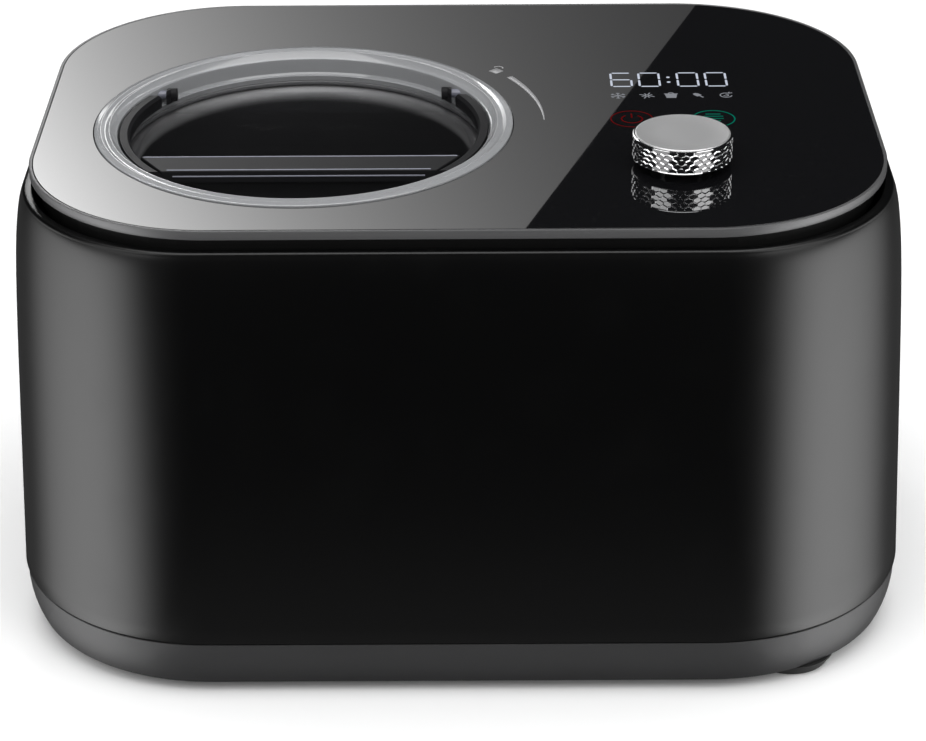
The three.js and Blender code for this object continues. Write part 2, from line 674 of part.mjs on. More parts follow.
function makeKnobCap() {
  const under = KNOB_TOP - knob.capHeight;
  const shape = turned([
    [0, KNOB_Z + 1], [7, KNOB_Z + 1], [7, under], [knob.cap, under],
    [knob.cap, KNOB_TOP - 0.8], [knob.cap - 0.8, KNOB_TOP], [0, KNOB_TOP],
  ], 40);
  return cut(shape, disc(spindle.radius + gap, 0, SPINDLE_TOP + gap));
}

function makeEncoder() {
  const bushTop = plate.topZ + 1.5;
  const bodyZ = DECK_UNDER - gap - encoder.height;
  const bodyTop = DECK_UNDER - gap;
  return cut(
    union(block(encoder.size, encoder.size, encoder.height, 0, 0, bodyZ),
      disc(encoder.bush, bodyTop - 1, bushTop)),
    disc(spindle.radius + gap, SPINDLE_TOP - spindle.length - gap, plate.topZ + 5),
  );
}

function makeKnobCollar() {
  return ring(encoder.bush + gap, encoder.bush + 4, plate.topZ + gap, KNOB_Z - 0.8, 24);
}

function makeDisplayBoard() {
  const z = plate.topZ - display.drop;
  const digitsY = 20;
  return union(
    block(display.width - 4, display.depth - 4, display.board, 0, 0, z),
    block(display.width - 8, 22, 9, 0, digitsY, z + display.board - 0.1),
    block(12, 12, 6, -18, -24, z + display.board - 0.1),
    block(12, 12, 6, 18, -24, z + display.board - 0.1),
  );
}

// ---------------------------------------------------------------- cooling
function makeCompressor() {
  const { radius, bottomZ, height, weld } = compressor;
  const z = (share) => bottomZ + gap + height * share;
  return turned([
    [0, z(0)], [radius * 0.6, z(0)], [radius * 0.92, z(0.12)], [radius, z(0.3)],
    [radius, z(0.5)], [radius + weld, z(0.5)], [radius + weld, z(0.53)], [radius, z(0.53)],
    [radius, z(0.72)], [radius * 0.86, z(0.88)], [radius * 0.5, z(0.98)], [0, z(1)],
  ], 28);
}

function makeCompressorTray() {
  const grommetHoles = trayCorners().map(([x, y]) => disc(4 + gap, 0, 60, x, y, 12));
  const z = compressor.bottomZ - tray.thickness;
  return cut(block(tray.width, tray.depth, tray.thickness, 0, 0, z), ...grommetHoles);
}

function trayCorners() {
  const x = tray.width / 2 - tray.edge;
  const y = tray.depth / 2 - tray.edge;
  return [[-x, -y], [x, -y], [-x, y], [x, y]];
}

function makeGrommet() {
  const trayUnder = compressor.bottomZ - tray.thickness;
  return union(
    disc(7, FLOOR + gap, trayUnder - gap, 0, 0, 12),
    disc(4, trayUnder - 1, compressor.bottomZ + 3, 0, 0, 12),
  );
}

function makeTerminalCover() {
  const { radius } = compressor;
  const z = compressor.bottomZ + compressor.height * 0.32;
  const shell = block(30, 30, 34, 0, -radius - 4, z);
  return cut(shell, disc(radius + compressor.weld + gap, 0, plate.topZ, 0, 0, 56));
}

function makeCondenser() {
  const { width, depth, height, slots } = condenser;
  const pitch = (width - 10) / slots;
  const cutters = Array.from({ length: slots }, (_, i) =>
    block(pitch - 2, 2 * depth, height - 12, (i - (slots - 1) / 2) * pitch, 0, 6));
  return cut(block(width, depth, height), ...cutters);
}

function makeFanShroud() {
  const { shroud, depth, radius, hub } = fan;
  const frame = cut(
    block(shroud, depth, shroud, 0, 0, -shroud / 2),
    rod(radius + 3, -depth, depth, 0, 0, 36),
  );
  const front = -depth / 2;
  const struts = [0, 60, 120].map((angle) => {
    const geometry = new THREE.BoxGeometry(2 * radius + 10, 3, 5).rotateY(angle * Math.PI / 180);
    return solid(geometry.translate(0, front + 1.5, 0));
  });
  return cut(
    union(frame, ...struts, rod(hub - 2, front, front + 3)),
    rod(2.5, -depth, depth, 0, 0, 12),
  );
}

function makeFanRotor() {
  const { depth, radius, hub, blades } = fan;
  const front = -depth / 2 + 4.5;
  const back = depth / 2 - 2;
  const parts = [rod(hub, front, back)];
  for (let i = 0; i < blades; i += 1) {
    const length = radius - hub + 4;
    const geometry = new THREE.BoxGeometry(length, 1.6, 20)
      .rotateX(THREE.MathUtils.degToRad(35))
      .translate(hub - 4 + length / 2, (front + back) / 2, 0)
      .rotateY(2 * Math.PI * i / blades);
    parts.push(solid(geometry));
  }
  return cut(union(...parts), rod(2 + gap, -depth, back - 3, 0, 0, 12));
}

function makeFanMotor() {
  const front = -fan.depth / 2;
  return union(
    rod(fan.hub, front - gap - 14, front - gap),
    rod(2, front - 2, fan.depth / 2 - 6, 0, 0, 12),
  );
}

function makeDrier() {
  const { radius, bottomZ, height } = drier;
  const top = bottomZ + height;
  return turned([
    [0, bottomZ], [3, bottomZ], [3, bottomZ + 6], [radius, bottomZ + 14],
    [radius, top - 14], [3, top - 6], [3, top], [0, top],
  ], 16);
}

/** From the compressor's crown over to the condenser's top. */
function makeDischargePipe() {
  const crown = compressor.bottomZ + compressor.height + gap + pipe.radius;
  const x = condenser.x + condenser.width / 2 - 16;
  const condenserTop = condenser.bottomZ + condenser.height;
  return pipeAlong([
    [compressor.x + 6, compressor.y + 6, crown + 1],
    [compressor.x + 22, compressor.y + 26, crown + 7],
    [x, condenser.y - 42, crown + 7],
    [x, condenser.y - 8, crown + 3],
    [x, condenser.y, condenserTop + 6],
    [x, condenser.y, condenserTop + 0.6],
  ]);
}

/** From the cooled well's jacket to the compressor's side. */
function makeSuctionPipe() {
  const startX = well.x + FOAM_OUT + gap + 0.6;
  const endX = compressor.x - compressor.radius - gap - 2.5;
  return pipeAlong([
    [startX, well.y, 120],
    [startX + 9, well.y, 121],
    [(startX + endX) / 2, compressor.y, 118],
    [endX - 5, compressor.y - 2, 109],
    [endX, compressor.y - 2, 108],
  ], pipe.radius + 1);
}

/** From the condenser's right end into the drier. */
function makeLiquidPipe() {
  const x = condenser.x + condenser.width / 2 + gap;
  const top = drier.bottomZ + drier.height;
  return pipeAlong([
    [x + 0.6, condenser.y, top - 14],
    [x + 6, condenser.y, top - 14],
    [x + 10, condenser.y - 12, top - 6],
    [drier.x - 2, drier.y + 34, top + 8],
    [drier.x, drier.y + 8, top + 14],
    [drier.x, drier.y, top + 9],
    [drier.x, drier.y, top + 0.6],
  ], 2.2);
}

// ---------------------------------------------------------------- electrics
function makeMainBoard() {
  const { width, height, bottomZ, board, x, y } = mainBoard;
  const face = y - board / 2;
  const lump = (w, d, h, dx, dz) => block(w, d, h, x + dx, face - d / 2 + 0.1, bottomZ + dz);
  return union(
    block(width, board, height, x, y, bottomZ),
    lump(34, 18, 30, -30, 8),
    lump(18, 14, 16, 8, 10),
    lump(18, 14, 16, 34, 10),
    lump(26, 12, 12, 0, 44),
    rod(8, face - 20, face + 0.1, x - 34, bottomZ + 56, 14),
    rod(6, face - 16, face + 0.1, x + 36, bottomZ + 54, 14),
  );
}

// ---------------------------------------------------------------- colours and finishes
const finishes = {
  satinBlack: { color: 0x151517, roughness: 0.38, metalness: 0.35 },
  moulded: { color: 0x202124, roughness: 0.6, metalness: 0 },
  rubber: { color: 0x101010, roughness: 0.9, metalness: 0 },
  blackGlass: { color: 0x08080a, roughness: 0.05, metalness: 0 },
  trimMetal: { color: 0x8d8f92, roughness: 0.3, metalness: 1 },
  clear: { color: 0xd5dadd, roughness: 0.08, metalness: 0, transparent: true, opacity: 0.4 },
  smoke: { color: 0x3a3c3f, roughness: 0.15, metalness: 0, transparent: true, opacity: 0.7 },
  silicone: { color: 0xc9c9c6, roughness: 0.7, metalness: 0 },
  aluminium: { color: 0xb4b6b8, roughness: 0.35, metalness: 1 },
  chrome: { color: 0xdcdde0, roughness: 0.12, metalness: 1 },
  steel: { color: 0x9a9da1, roughness: 0.3, metalness: 1 },
  copper: { color: 0xb0643c, roughness: 0.35, metalness: 1 },
  foam: { color: 0xd8cf9f, roughness: 0.95, metalness: 0 },
  nylon: { color: 0xe6e2d6, roughness: 0.55, metalness: 0 },
  paint: { color: 0x17181a, roughness: 0.5, metalness: 0.2 },
  board: { color: 0x1f5b3a, roughness: 0.55, metalness: 0 },
};

// ---------------------------------------------------------------- assembly
const machine = new THREE.Group();

function groupAt(x, y, z = 0, parent = machine) {
  const group = new THREE.Group();
  group.position.set(x, y, z);
  parent.add(group);
  return group;
}

function add(parent, name, shape, finish, place = [0, 0, 0], turnZ = 0) {
  const material = new THREE.MeshStandardMaterial(finishes[finish]);
  const mesh = new THREE.Mesh(geometryOf(shape), material);
  mesh.name = name;
  mesh.position.set(...place);
  mesh.rotation.z = turnZ;
  parent.add(mesh);
}

function addHousing() {
  add(machine, 'housing', makeHousing(), 'satinBlack');
  add(machine, 'rear_grille', makeRearGrille(), 'moulded');
  add(machine, 'base_pan', makeBasePan(), 'moulded');
  add(machine, 'cord_gland', makeCordGland(), 'rubber', [gland.x, 0, gland.z]);
  for (const [name, [x, y]] of Object.entries(feet)) {
    add(machine, name, makeFoot(), 'rubber', [x, y, 0]);
  }
}

function addTop() {
  add(machine, 'top_deck', makeDeck(), 'moulded');
  add(machine, 'top_trim', makeTrim(), 'trimMetal');
  add(machine, 'top_glass', makeGlass(), 'blackGlass');
}

function addWell() {
  const axis = groupAt(well.x, well.y);
  add(axis, 'well_collar', makeCollar(), 'moulded');
  add(axis, 'evaporator_drum', makeDrum(), 'aluminium');
  add(axis, 'evaporator_coil', makeCoil(), 'copper');
  add(axis, 'foam_jacket', makeFoam(), 'foam');
  add(axis, 'bowl', makeBowl(), 'aluminium');
  add(axis, 'paddle', makePaddle(), 'nylon');
  add(axis, 'lid_seal', makeLidSeal(), 'silicone');
  add(axis, 'lid_ring', makeLidRing(), 'clear');
  add(axis, 'refill_flap', makeFlap(), 'smoke');
  add(axis, 'flap_pin_left', makeHingePin(-1), 'steel');
  add(axis, 'flap_pin_right', makeHingePin(1), 'steel');
}

function addDrive() {
  const axis = groupAt(well.x, well.y);
  const pinAxis = groupAt(GEAR_STEP, 0, 0, axis);
  const motorAxis = groupAt(2 * GEAR_STEP, 0, 0, axis);
  const pinTop = COVER_Z - 2 * gap;
  const pinShape = disc(idlerPin.radius, CASE_FLOOR + gap, pinTop, 0, 0, 12);
  add(axis, 'drive_shaft', makeDriveShaft(), 'steel');
  add(axis, 'output_gear', makeOutputGear(), 'nylon');
  add(axis, 'shaft_bush', makeShaftBush(), 'rubber');
  add(axis, 'gear_case', makeGearCase(), 'moulded');
  add(axis, 'gear_cover', makeGearCover(), 'moulded');
  add(pinAxis, 'idler_gear', makeIdler(), 'nylon');
  add(pinAxis, 'idler_pin', pinShape, 'steel');
  add(motorAxis, 'motor_pinion', makeMotorPinion(), 'steel');
  add(motorAxis, 'mixing_motor', makeMixMotor(), 'steel');
}

function addControls() {
  const axis = groupAt(knob.x, knob.y);
  const spindleShape = disc(spindle.radius, SPINDLE_TOP - spindle.length, SPINDLE_TOP, 0, 0, 16);
  add(axis, 'knob_grip', makeKnobGrip(), 'chrome');
  add(axis, 'knob_cap', makeKnobCap(), 'aluminium');
  add(axis, 'knob_spindle', spindleShape, 'steel');
  add(axis, 'knob_collar', makeKnobCollar(), 'rubber');
  add(axis, 'encoder', makeEncoder(), 'moulded');
  add(machine, 'display_board', makeDisplayBoard(), 'board', [display.x, display.y, 0]);
}

function addCooling() {
  const mount = groupAt(compressor.x, compressor.y);
  add(mount, 'compressor', makeCompressor(), 'paint');
  add(mount, 'compressor_tray', makeCompressorTray(), 'steel');
  add(mount, 'terminal_cover', makeTerminalCover(), 'moulded');
  trayCorners().forEach(([x, y], i) => {
    add(mount, `grommet_${i + 1}`, makeGrommet(), 'rubber', [x, y, 0]);
  });
  const fanAxis = groupAt(fan.x, fan.y, fan.z);
  add(machine, 'condenser', makeCondenser(), 'aluminium',
    [condenser.x, condenser.y, condenser.bottomZ]);
  add(fanAxis, 'fan_shroud', makeFanShroud(), 'moulded');
  add(fanAxis, 'fan_rotor', makeFanRotor(), 'moulded');
  add(fanAxis, 'fan_motor', makeFanMotor(), 'steel');
  add(machine, 'filter_drier', makeDrier(), 'copper', [drier.x, drier.y, 0]);
  add(machine, 'discharge_pipe', makeDischargePipe(), 'copper');
  add(machine, 'suction_pipe', makeSuctionPipe(), 'rubber');
  add(machine, 'liquid_pipe', makeLiquidPipe(), 'copper');
}

addHousing();
addTop();
addWell();
addDrive();
addControls();
addCooling();
add(machine, 'main_board', makeMainBoard(), 'board');

export default machine;
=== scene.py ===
import json
import math
import bmesh
import bpy
from mathutils import Matrix, Vector


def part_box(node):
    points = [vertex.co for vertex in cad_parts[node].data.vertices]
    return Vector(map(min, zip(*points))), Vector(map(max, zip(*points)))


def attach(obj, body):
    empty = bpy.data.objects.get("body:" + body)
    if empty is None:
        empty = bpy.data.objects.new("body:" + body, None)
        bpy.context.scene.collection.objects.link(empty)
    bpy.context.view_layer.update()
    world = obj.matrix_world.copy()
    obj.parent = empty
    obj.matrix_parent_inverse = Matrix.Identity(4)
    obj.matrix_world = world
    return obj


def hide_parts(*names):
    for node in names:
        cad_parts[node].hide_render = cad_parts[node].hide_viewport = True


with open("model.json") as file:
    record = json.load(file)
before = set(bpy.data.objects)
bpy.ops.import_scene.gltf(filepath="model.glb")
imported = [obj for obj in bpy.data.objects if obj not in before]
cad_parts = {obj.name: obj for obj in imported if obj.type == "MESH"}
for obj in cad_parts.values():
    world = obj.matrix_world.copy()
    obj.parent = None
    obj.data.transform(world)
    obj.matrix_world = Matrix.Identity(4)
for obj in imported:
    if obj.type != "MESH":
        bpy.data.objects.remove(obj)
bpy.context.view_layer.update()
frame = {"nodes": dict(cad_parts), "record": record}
print("frame loaded:", len(frame["nodes"]), "nodes")

mm = 0.001

# where things are, read from the frame
bodyLow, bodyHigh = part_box("housing")
baseLow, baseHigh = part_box("base_pan")
trimLow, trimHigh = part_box("top_trim")
glassLow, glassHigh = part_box("top_glass")
lidLow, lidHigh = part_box("lid_ring")
flapLow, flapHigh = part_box("refill_flap")
bowlLow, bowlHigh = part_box("bowl")
drumLow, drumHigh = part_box("evaporator_drum")
collarLow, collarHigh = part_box("well_collar")
sealLow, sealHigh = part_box("lid_seal")
gripLow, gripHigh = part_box("knob_grip")
capLow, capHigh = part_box("knob_cap")
knobCollarLow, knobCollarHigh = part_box("knob_collar")
grilleLow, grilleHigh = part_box("rear_grille")
glandLow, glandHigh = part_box("cord_gland")
plateZ = glassHigh.z
wellX = (lidLow.x + lidHigh.x) / 2
wellY = (lidLow.y + lidHigh.y) / 2
lidRadius = (lidHigh.x - lidLow.x) / 2
knobX = (gripLow.x + gripHigh.x) / 2
knobY = (gripLow.y + gripHigh.y) / 2


# helpers for meshes
def asPiece(name, bm, body, material, replaces=(), angle=38, outward=True):
    if outward:
        bmesh.ops.recalc_face_normals(bm, faces=bm.faces)
    mesh = bpy.data.meshes.new(name)
    bm.to_mesh(mesh)
    bm.free()
    mesh.polygons.foreach_set("use_smooth", [True] * len(mesh.polygons))
    mesh.set_sharp_from_angle(angle=math.radians(angle))
    mesh.materials.append(material)
    piece = bpy.data.objects.new(name, mesh)
    bpy.context.collection.objects.link(piece)
    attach(piece, body)
    if replaces:
        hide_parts(*replaces)
    return piece


def addBevel(piece, width, segments=2, angle=35):
    bevel = piece.modifiers.new("edges", "BEVEL")
    bevel.width = width
    bevel.segments = segments
    bevel.limit_method = "ANGLE"
    bevel.angle_limit = math.radians(angle)
    bevel.harden_normals = True
    return bevel


def settle(piece):
    # bakes the modifiers into the mesh
    bpy.context.view_layer.update()
    graph = bpy.context.evaluated_depsgraph_get()
    mesh = bpy.data.meshes.new_from_object(piece.evaluated_get(graph))
    piece.modifiers.clear()
    piece.data = mesh
    return piece


def cutAway(piece, cutters):
    # cuts boxes and rods out of a piece, and removes the cutters
    for cutter in cutters:
        mesh = bpy.data.meshes.new("cutter")
        cutter.to_mesh(mesh)
        cutter.free()
        tool = bpy.data.objects.new("cutter", mesh)
        bpy.context.collection.objects.link(tool)
        boolean = piece.modifiers.new("cut", "BOOLEAN")
        boolean.operation = "DIFFERENCE"
        boolean.solver = "EXACT"
        boolean.object = tool
        settle(piece)
        bpy.data.objects.remove(tool, do_unlink=True)
    piece.data.polygons.foreach_set("use_smooth", [True] * len(piece.data.polygons))
    piece.data.set_sharp_from_angle(angle=math.radians(35))
    return piece


def boxMesh(low, high):
    bm = bmesh.new()
    size = Vector(high) - Vector(low)
    middle = (Vector(high) + Vector(low)) / 2
    bmesh.ops.create_cube(bm, size=1, matrix=Matrix.Translation(middle) @ Matrix.Diagonal((*size, 1)))
    return bm


def arc(centreR, centreZ, radius, start, end, steps):
    # points of a rounded corner in a profile, angles in degrees from +R toward +Z
    points = []
    for i in range(steps + 1):
        a = math.radians(start + (end - start) * i / steps)
        points.append((centreR + radius * math.cos(a), centreZ + radius * math.sin(a)))
    return points


def turned(profile, segments=96, closed=True, centre=(0, 0), bm=None):
    # spins a profile of (radius, z) points about an upright axis
    target = bm or bmesh.new()
    verts = [target.verts.new((centre[0] + r, centre[1], z)) for r, z in profile]
    pairs = list(zip(verts, verts[1:]))
    if closed:
        pairs.append((verts[-1], verts[0]))
    edges = [target.edges.new(pair) for pair in pairs]
    bmesh.ops.spin(target, geom=verts + edges, cent=(centre[0], centre[1], 0), axis=(0, 0, 1),
                   angle=2 * math.pi, steps=segments, use_merge=True, use_duplicate=False)
    bmesh.ops.remove_doubles(target, verts=target.verts, dist=1e-6)
    return target


def faceUp(bm):
    for f in bm.faces:
        f.normal_update()
        if f.normal.z < 0:
            f.normal_flip()


def vertsOf(made):
    return [g for g in made["geom"] if isinstance(g, bmesh.types.BMVert)]


def edgesOf(made):
    return [g for g in made["geom"] if isinstance(g, bmesh.types.BMEdge)]


def addThickness(piece, thickness, offset):
    solid = piece.modifiers.new("thickness", "SOLIDIFY")
    solid.thickness = thickness
    solid.offset = offset
    return piece


def roundedLoop(bm, width, depth, corner, z, cornerSegments=18, flatCuts=8):
    # the first loop of a mesh: a circle whose quarters are pulled apart, with the straights divided
    made = bmesh.ops.create_circle(bm, radius=corner, segments=4 * cornerSegments)
    bmesh.ops.rotate(bm, verts=made["verts"],
                     matrix=Matrix.Rotation(math.pi / (4 * cornerSegments), 3, "Z"))
    for v in bm.verts:
        v.co.x += math.copysign(width / 2 - corner, v.co.x)
        v.co.y += math.copysign(depth / 2 - corner, v.co.y)
        v.co.z = z
    longEdges = [e for e in bm.edges if e.calc_length() > corner / 6]
    bmesh.ops.subdivide_edges(bm, edges=longEdges, cuts=flatCuts)
    return list(bm.edges)


def sweptBand(profile, width, depth, corner, cornerSegments=18, flatCuts=8, closed=True):
    # carries a profile of (inset, z) points round a rounded rectangle
    bm = bmesh.new()
    first = roundedLoop(bm, width, depth, corner, profile[0][1], cornerSegments, flatCuts)
    coreX = width / 2 - corner
    coreY = depth / 2 - corner

    def moveTo(edges, inset, z):
        for v in {v for e in edges for v in e.verts}:
            core = Vector((max(-coreX, min(coreX, v.co.x)), max(-coreY, min(coreY, v.co.y)), 0))
            out = Vector((v.co.x, v.co.y, 0)) - core
            v.co = core + out.normalized() * (corner - inset) + Vector((0, 0, z))

    moveTo(first, *profile[0])
    loop = first
    for inset, z in profile[1:]:
        made = bmesh.ops.extrude_edge_only(bm, edges=loop)
        loop = [e for e in edgesOf(made) if e.is_boundary and all(v.is_boundary for v in e.verts)]
        moveTo(loop, inset, z)
    if closed:
        bmesh.ops.bridge_loops(bm, edges=first + loop)
    return bm, first, loop


# helpers for materials
def newMaterial(name):
    material = bpy.data.materials.new(name)
    material.use_nodes = True
    nodes = material.node_tree.nodes
    return material, nodes, material.node_tree.links, nodes["Principled BSDF"]


def newGroup(name, inputs, outputs):
    group = bpy.data.node_groups.new(name, "ShaderNodeTree")
    for label, kind, value in inputs:
        socket = group.interface.new_socket(name=label, in_out="INPUT", socket_type=kind)
        if value is not None:
            socket.default_value = value
    for label, kind in outputs:
        group.interface.new_socket(name=label, in_out="OUTPUT", socket_type=kind)
    return group, group.nodes.new("NodeGroupInput"), group.nodes.new("NodeGroupOutput")


def mathNode(tree, operation, a, b=None, clamp=False):
    node = tree.nodes.new("ShaderNodeMath")
    node.operation = operation
    node.use_clamp = clamp
    for index, value in enumerate((a, b)):
        if value is None:
            continue
        if isinstance(value, (int, float)):
            node.inputs[index].default_value = value
        else:
            tree.links.new(value, node.inputs[index])
    return node.outputs[0]


def makeGrain():
    # moulded or sprayed surface: a fine pebble for bump and a slow drift of tone
    group, given, out = newGroup(
        "surfaceGrain",
        [("Scale", "NodeSocketFloat", 900.0), ("Drift", "NodeSocketFloat", 0.1)],
        [("Height", "NodeSocketFloat"), ("Tone", "NodeSocketFloat")])
    place = group.nodes.new("ShaderNodeTexCoord")
    fine = group.nodes.new("ShaderNodeTexNoise")
    fine.inputs["Detail"].default_value = 3
    slow = group.nodes.new("ShaderNodeTexNoise")
    slow.inputs["Scale"].default_value = 14
    group.links.new(place.outputs["Object"], fine.inputs["Vector"])
    group.links.new(place.outputs["Object"], slow.inputs["Vector"])
    group.links.new(given.outputs["Scale"], fine.inputs["Scale"])
    shifted = mathNode(group, "SUBTRACT", slow.outputs["Fac"], 0.5)
    scaled = mathNode(group, "MULTIPLY", shifted, given.outputs["Drift"])
    tone = mathNode(group, "ADD", scaled, 1.0)
    group.links.new(fine.outputs["Fac"], out.inputs["Height"])
    group.links.new(tone, out.inputs["Tone"])
    return group


def makeHandling():
    # fingermarks and wiping: patches that lift the roughness
    group, given, out = newGroup(
        "handlingMarks",
        [("Roughness", "NodeSocketFloat", 0.3), ("Amount", "NodeSocketFloat", 0.05),
         ("Scale", "NodeSocketFloat", 30.0)],
        [("Roughness", "NodeSocketFloat"), ("Mask", "NodeSocketFloat")])
    place = group.nodes.new("ShaderNodeTexCoord")
    patches = group.nodes.new("ShaderNodeTexNoise")
    patches.inputs["Detail"].default_value = 6
    patches.inputs["Distortion"].default_value = 0.6
    wipes = group.nodes.new("ShaderNodeTexWave")
    wipes.inputs["Scale"].default_value = 9
    wipes.inputs["Distortion"].default_value = 14
    wipes.inputs["Detail"].default_value = 4
    group.links.new(place.outputs["Object"], patches.inputs["Vector"])
    group.links.new(place.outputs["Object"], wipes.inputs["Vector"])
    group.links.new(given.outputs["Scale"], patches.inputs["Scale"])
    lifted = mathNode(group, "SUBTRACT", patches.outputs["Fac"], 0.48)
    mask = mathNode(group, "MULTIPLY", lifted, 4.0, clamp=True)
    both = mathNode(group, "MULTIPLY", mask, wipes.outputs["Fac"])
    extra = mathNode(group, "MULTIPLY", both, given.outputs["Amount"])
    rough = mathNode(group, "ADD", extra, given.outputs["Roughness"], clamp=True)
    group.links.new(rough, out.inputs["Roughness"])
    group.links.new(both, out.inputs["Mask"])
    return group


def makeDust():
    # a little dust on faces that look up
    group, given, out = newGroup(
        "settledDust", [("Amount", "NodeSocketFloat", 0.05)], [("Mask", "NodeSocketFloat")])
    shape = group.nodes.new("ShaderNodeNewGeometry")
    parts = group.nodes.new("ShaderNodeSeparateXYZ")
    place = group.nodes.new("ShaderNodeTexCoord")
    specks = group.nodes.new("ShaderNodeTexNoise")
    specks.inputs["Scale"].default_value = 420
    specks.inputs["Detail"].default_value = 5
    group.links.new(shape.outputs["Normal"], parts.inputs["Vector"])
    group.links.new(place.outputs["Object"], specks.inputs["Vector"])
    up = mathNode(group, "MULTIPLY", parts.outputs["Z"], 1.0, clamp=True)
    sparse = mathNode(group, "SUBTRACT", specks.outputs["Fac"], 0.56)
    bright = mathNode(group, "MULTIPLY", sparse, 6.0, clamp=True)
    mask = mathNode(group, "MULTIPLY", up, bright)
    shown = mathNode(group, "MULTIPLY", mask, given.outputs["Amount"])
    group.links.new(shown, out.inputs["Mask"])
    return group


def makeBrushing():
    # fine lines from a brush or lathe, stretched along one direction
    group, given, out = newGroup(
        "brushLines",
        [("Stretch", "NodeSocketVector", (30.0, 30.0, 2200.0)), ("Depth", "NodeSocketFloat", 0.2)],
        [("Height", "NodeSocketFloat"), ("Tone", "NodeSocketFloat")])
    place = group.nodes.new("ShaderNodeTexCoord")
    scale = group.nodes.new("ShaderNodeVectorMath")
    scale.operation = "MULTIPLY"
    lines = group.nodes.new("ShaderNodeTexNoise")
    lines.inputs["Scale"].default_value = 1
    lines.inputs["Detail"].default_value = 4
    group.links.new(place.outputs["Object"], scale.inputs[0])
    group.links.new(given.outputs["Stretch"], scale.inputs[1])
    group.links.new(scale.outputs["Vector"], lines.inputs["Vector"])
    centred = mathNode(group, "SUBTRACT", lines.outputs["Fac"], 0.5)
    depth = mathNode(group, "MULTIPLY", centred, given.outputs["Depth"])
    tone = mathNode(group, "ADD", depth, 1.0)
    group.links.new(lines.outputs["Fac"], out.inputs["Height"])
    group.links.new(tone, out.inputs["Tone"])
    return group


grainGroup = makeGrain()
handlingGroup = makeHandling()
dustGroup = makeDust()
brushGroup = makeBrushing()


def setSockets(node, values):
    for label, value in values.items():
        node.inputs[label].default_value = value


def useGroup(nodes, group, **values):
    node = nodes.new("ShaderNodeGroup")
    node.node_tree = group
    setSockets(node, values)
    return node


def addMarks(nodes, links, shader, rough, amount):
    marks = useGroup(nodes, handlingGroup, Roughness=rough, Amount=amount)
    links.new(marks.outputs["Roughness"], shader.inputs["Roughness"])


def addRelief(nodes, links, shader, height, strength, depth):
    relief = nodes.new("ShaderNodeBump")
    setSockets(relief, {"Strength": strength, "Distance": depth})
    links.new(height, relief.inputs["Height"])
    links.new(relief.outputs["Normal"], shader.inputs["Normal"])


def toneColour(nodes, links, color, tone, dust=None, dustColor=(0.5, 0.5, 0.48, 1)):
    # the base colour times a tone, with dust mixed over it
    mix = nodes.new("ShaderNodeVectorMath")
    mix.operation = "SCALE"
    mix.inputs[0].default_value = color[:3]
    links.new(tone, mix.inputs["Scale"])
    if dust is None:
        return mix.outputs["Vector"]
    over = nodes.new("ShaderNodeMix")
    over.data_type = "RGBA"
    over.inputs["B"].default_value = dustColor
    links.new(dust, over.inputs["Factor"])
    links.new(mix.outputs["Vector"], over.inputs["A"])
    return over.outputs["Result"]


def surface(name, color, rough, metal=0.0, grain=900.0, bump=0.02, drift=0.12, smudge=0.05,
            dust=0.0, coat=0.0, coatRough=0.05, specular=0.5, ior=1.5, brush=None, depth=0.00005):
    # the shared recipe: grain or brush lines for bump and tone, handling marks for roughness
    material, nodes, links, shader = newMaterial(name)
    setSockets(shader, {"Metallic": metal, "Specular IOR Level": specular, "IOR": ior,
                        "Coat Weight": coat, "Coat Roughness": coatRough})
    addMarks(nodes, links, shader, rough, smudge)
    if brush:
        texture = useGroup(nodes, brushGroup, Stretch=brush, Depth=drift)
    else:
        texture = useGroup(nodes, grainGroup, Scale=grain, Drift=drift)
    dustMask = None
    if dust:
        dustMask = useGroup(nodes, dustGroup, Amount=dust).outputs["Mask"]
    tinted = toneColour(nodes, links, color, texture.outputs["Tone"], dustMask)
    links.new(tinted, shader.inputs["Base Color"])
    addRelief(nodes, links, shader, texture.outputs["Height"], bump, depth)
    return material


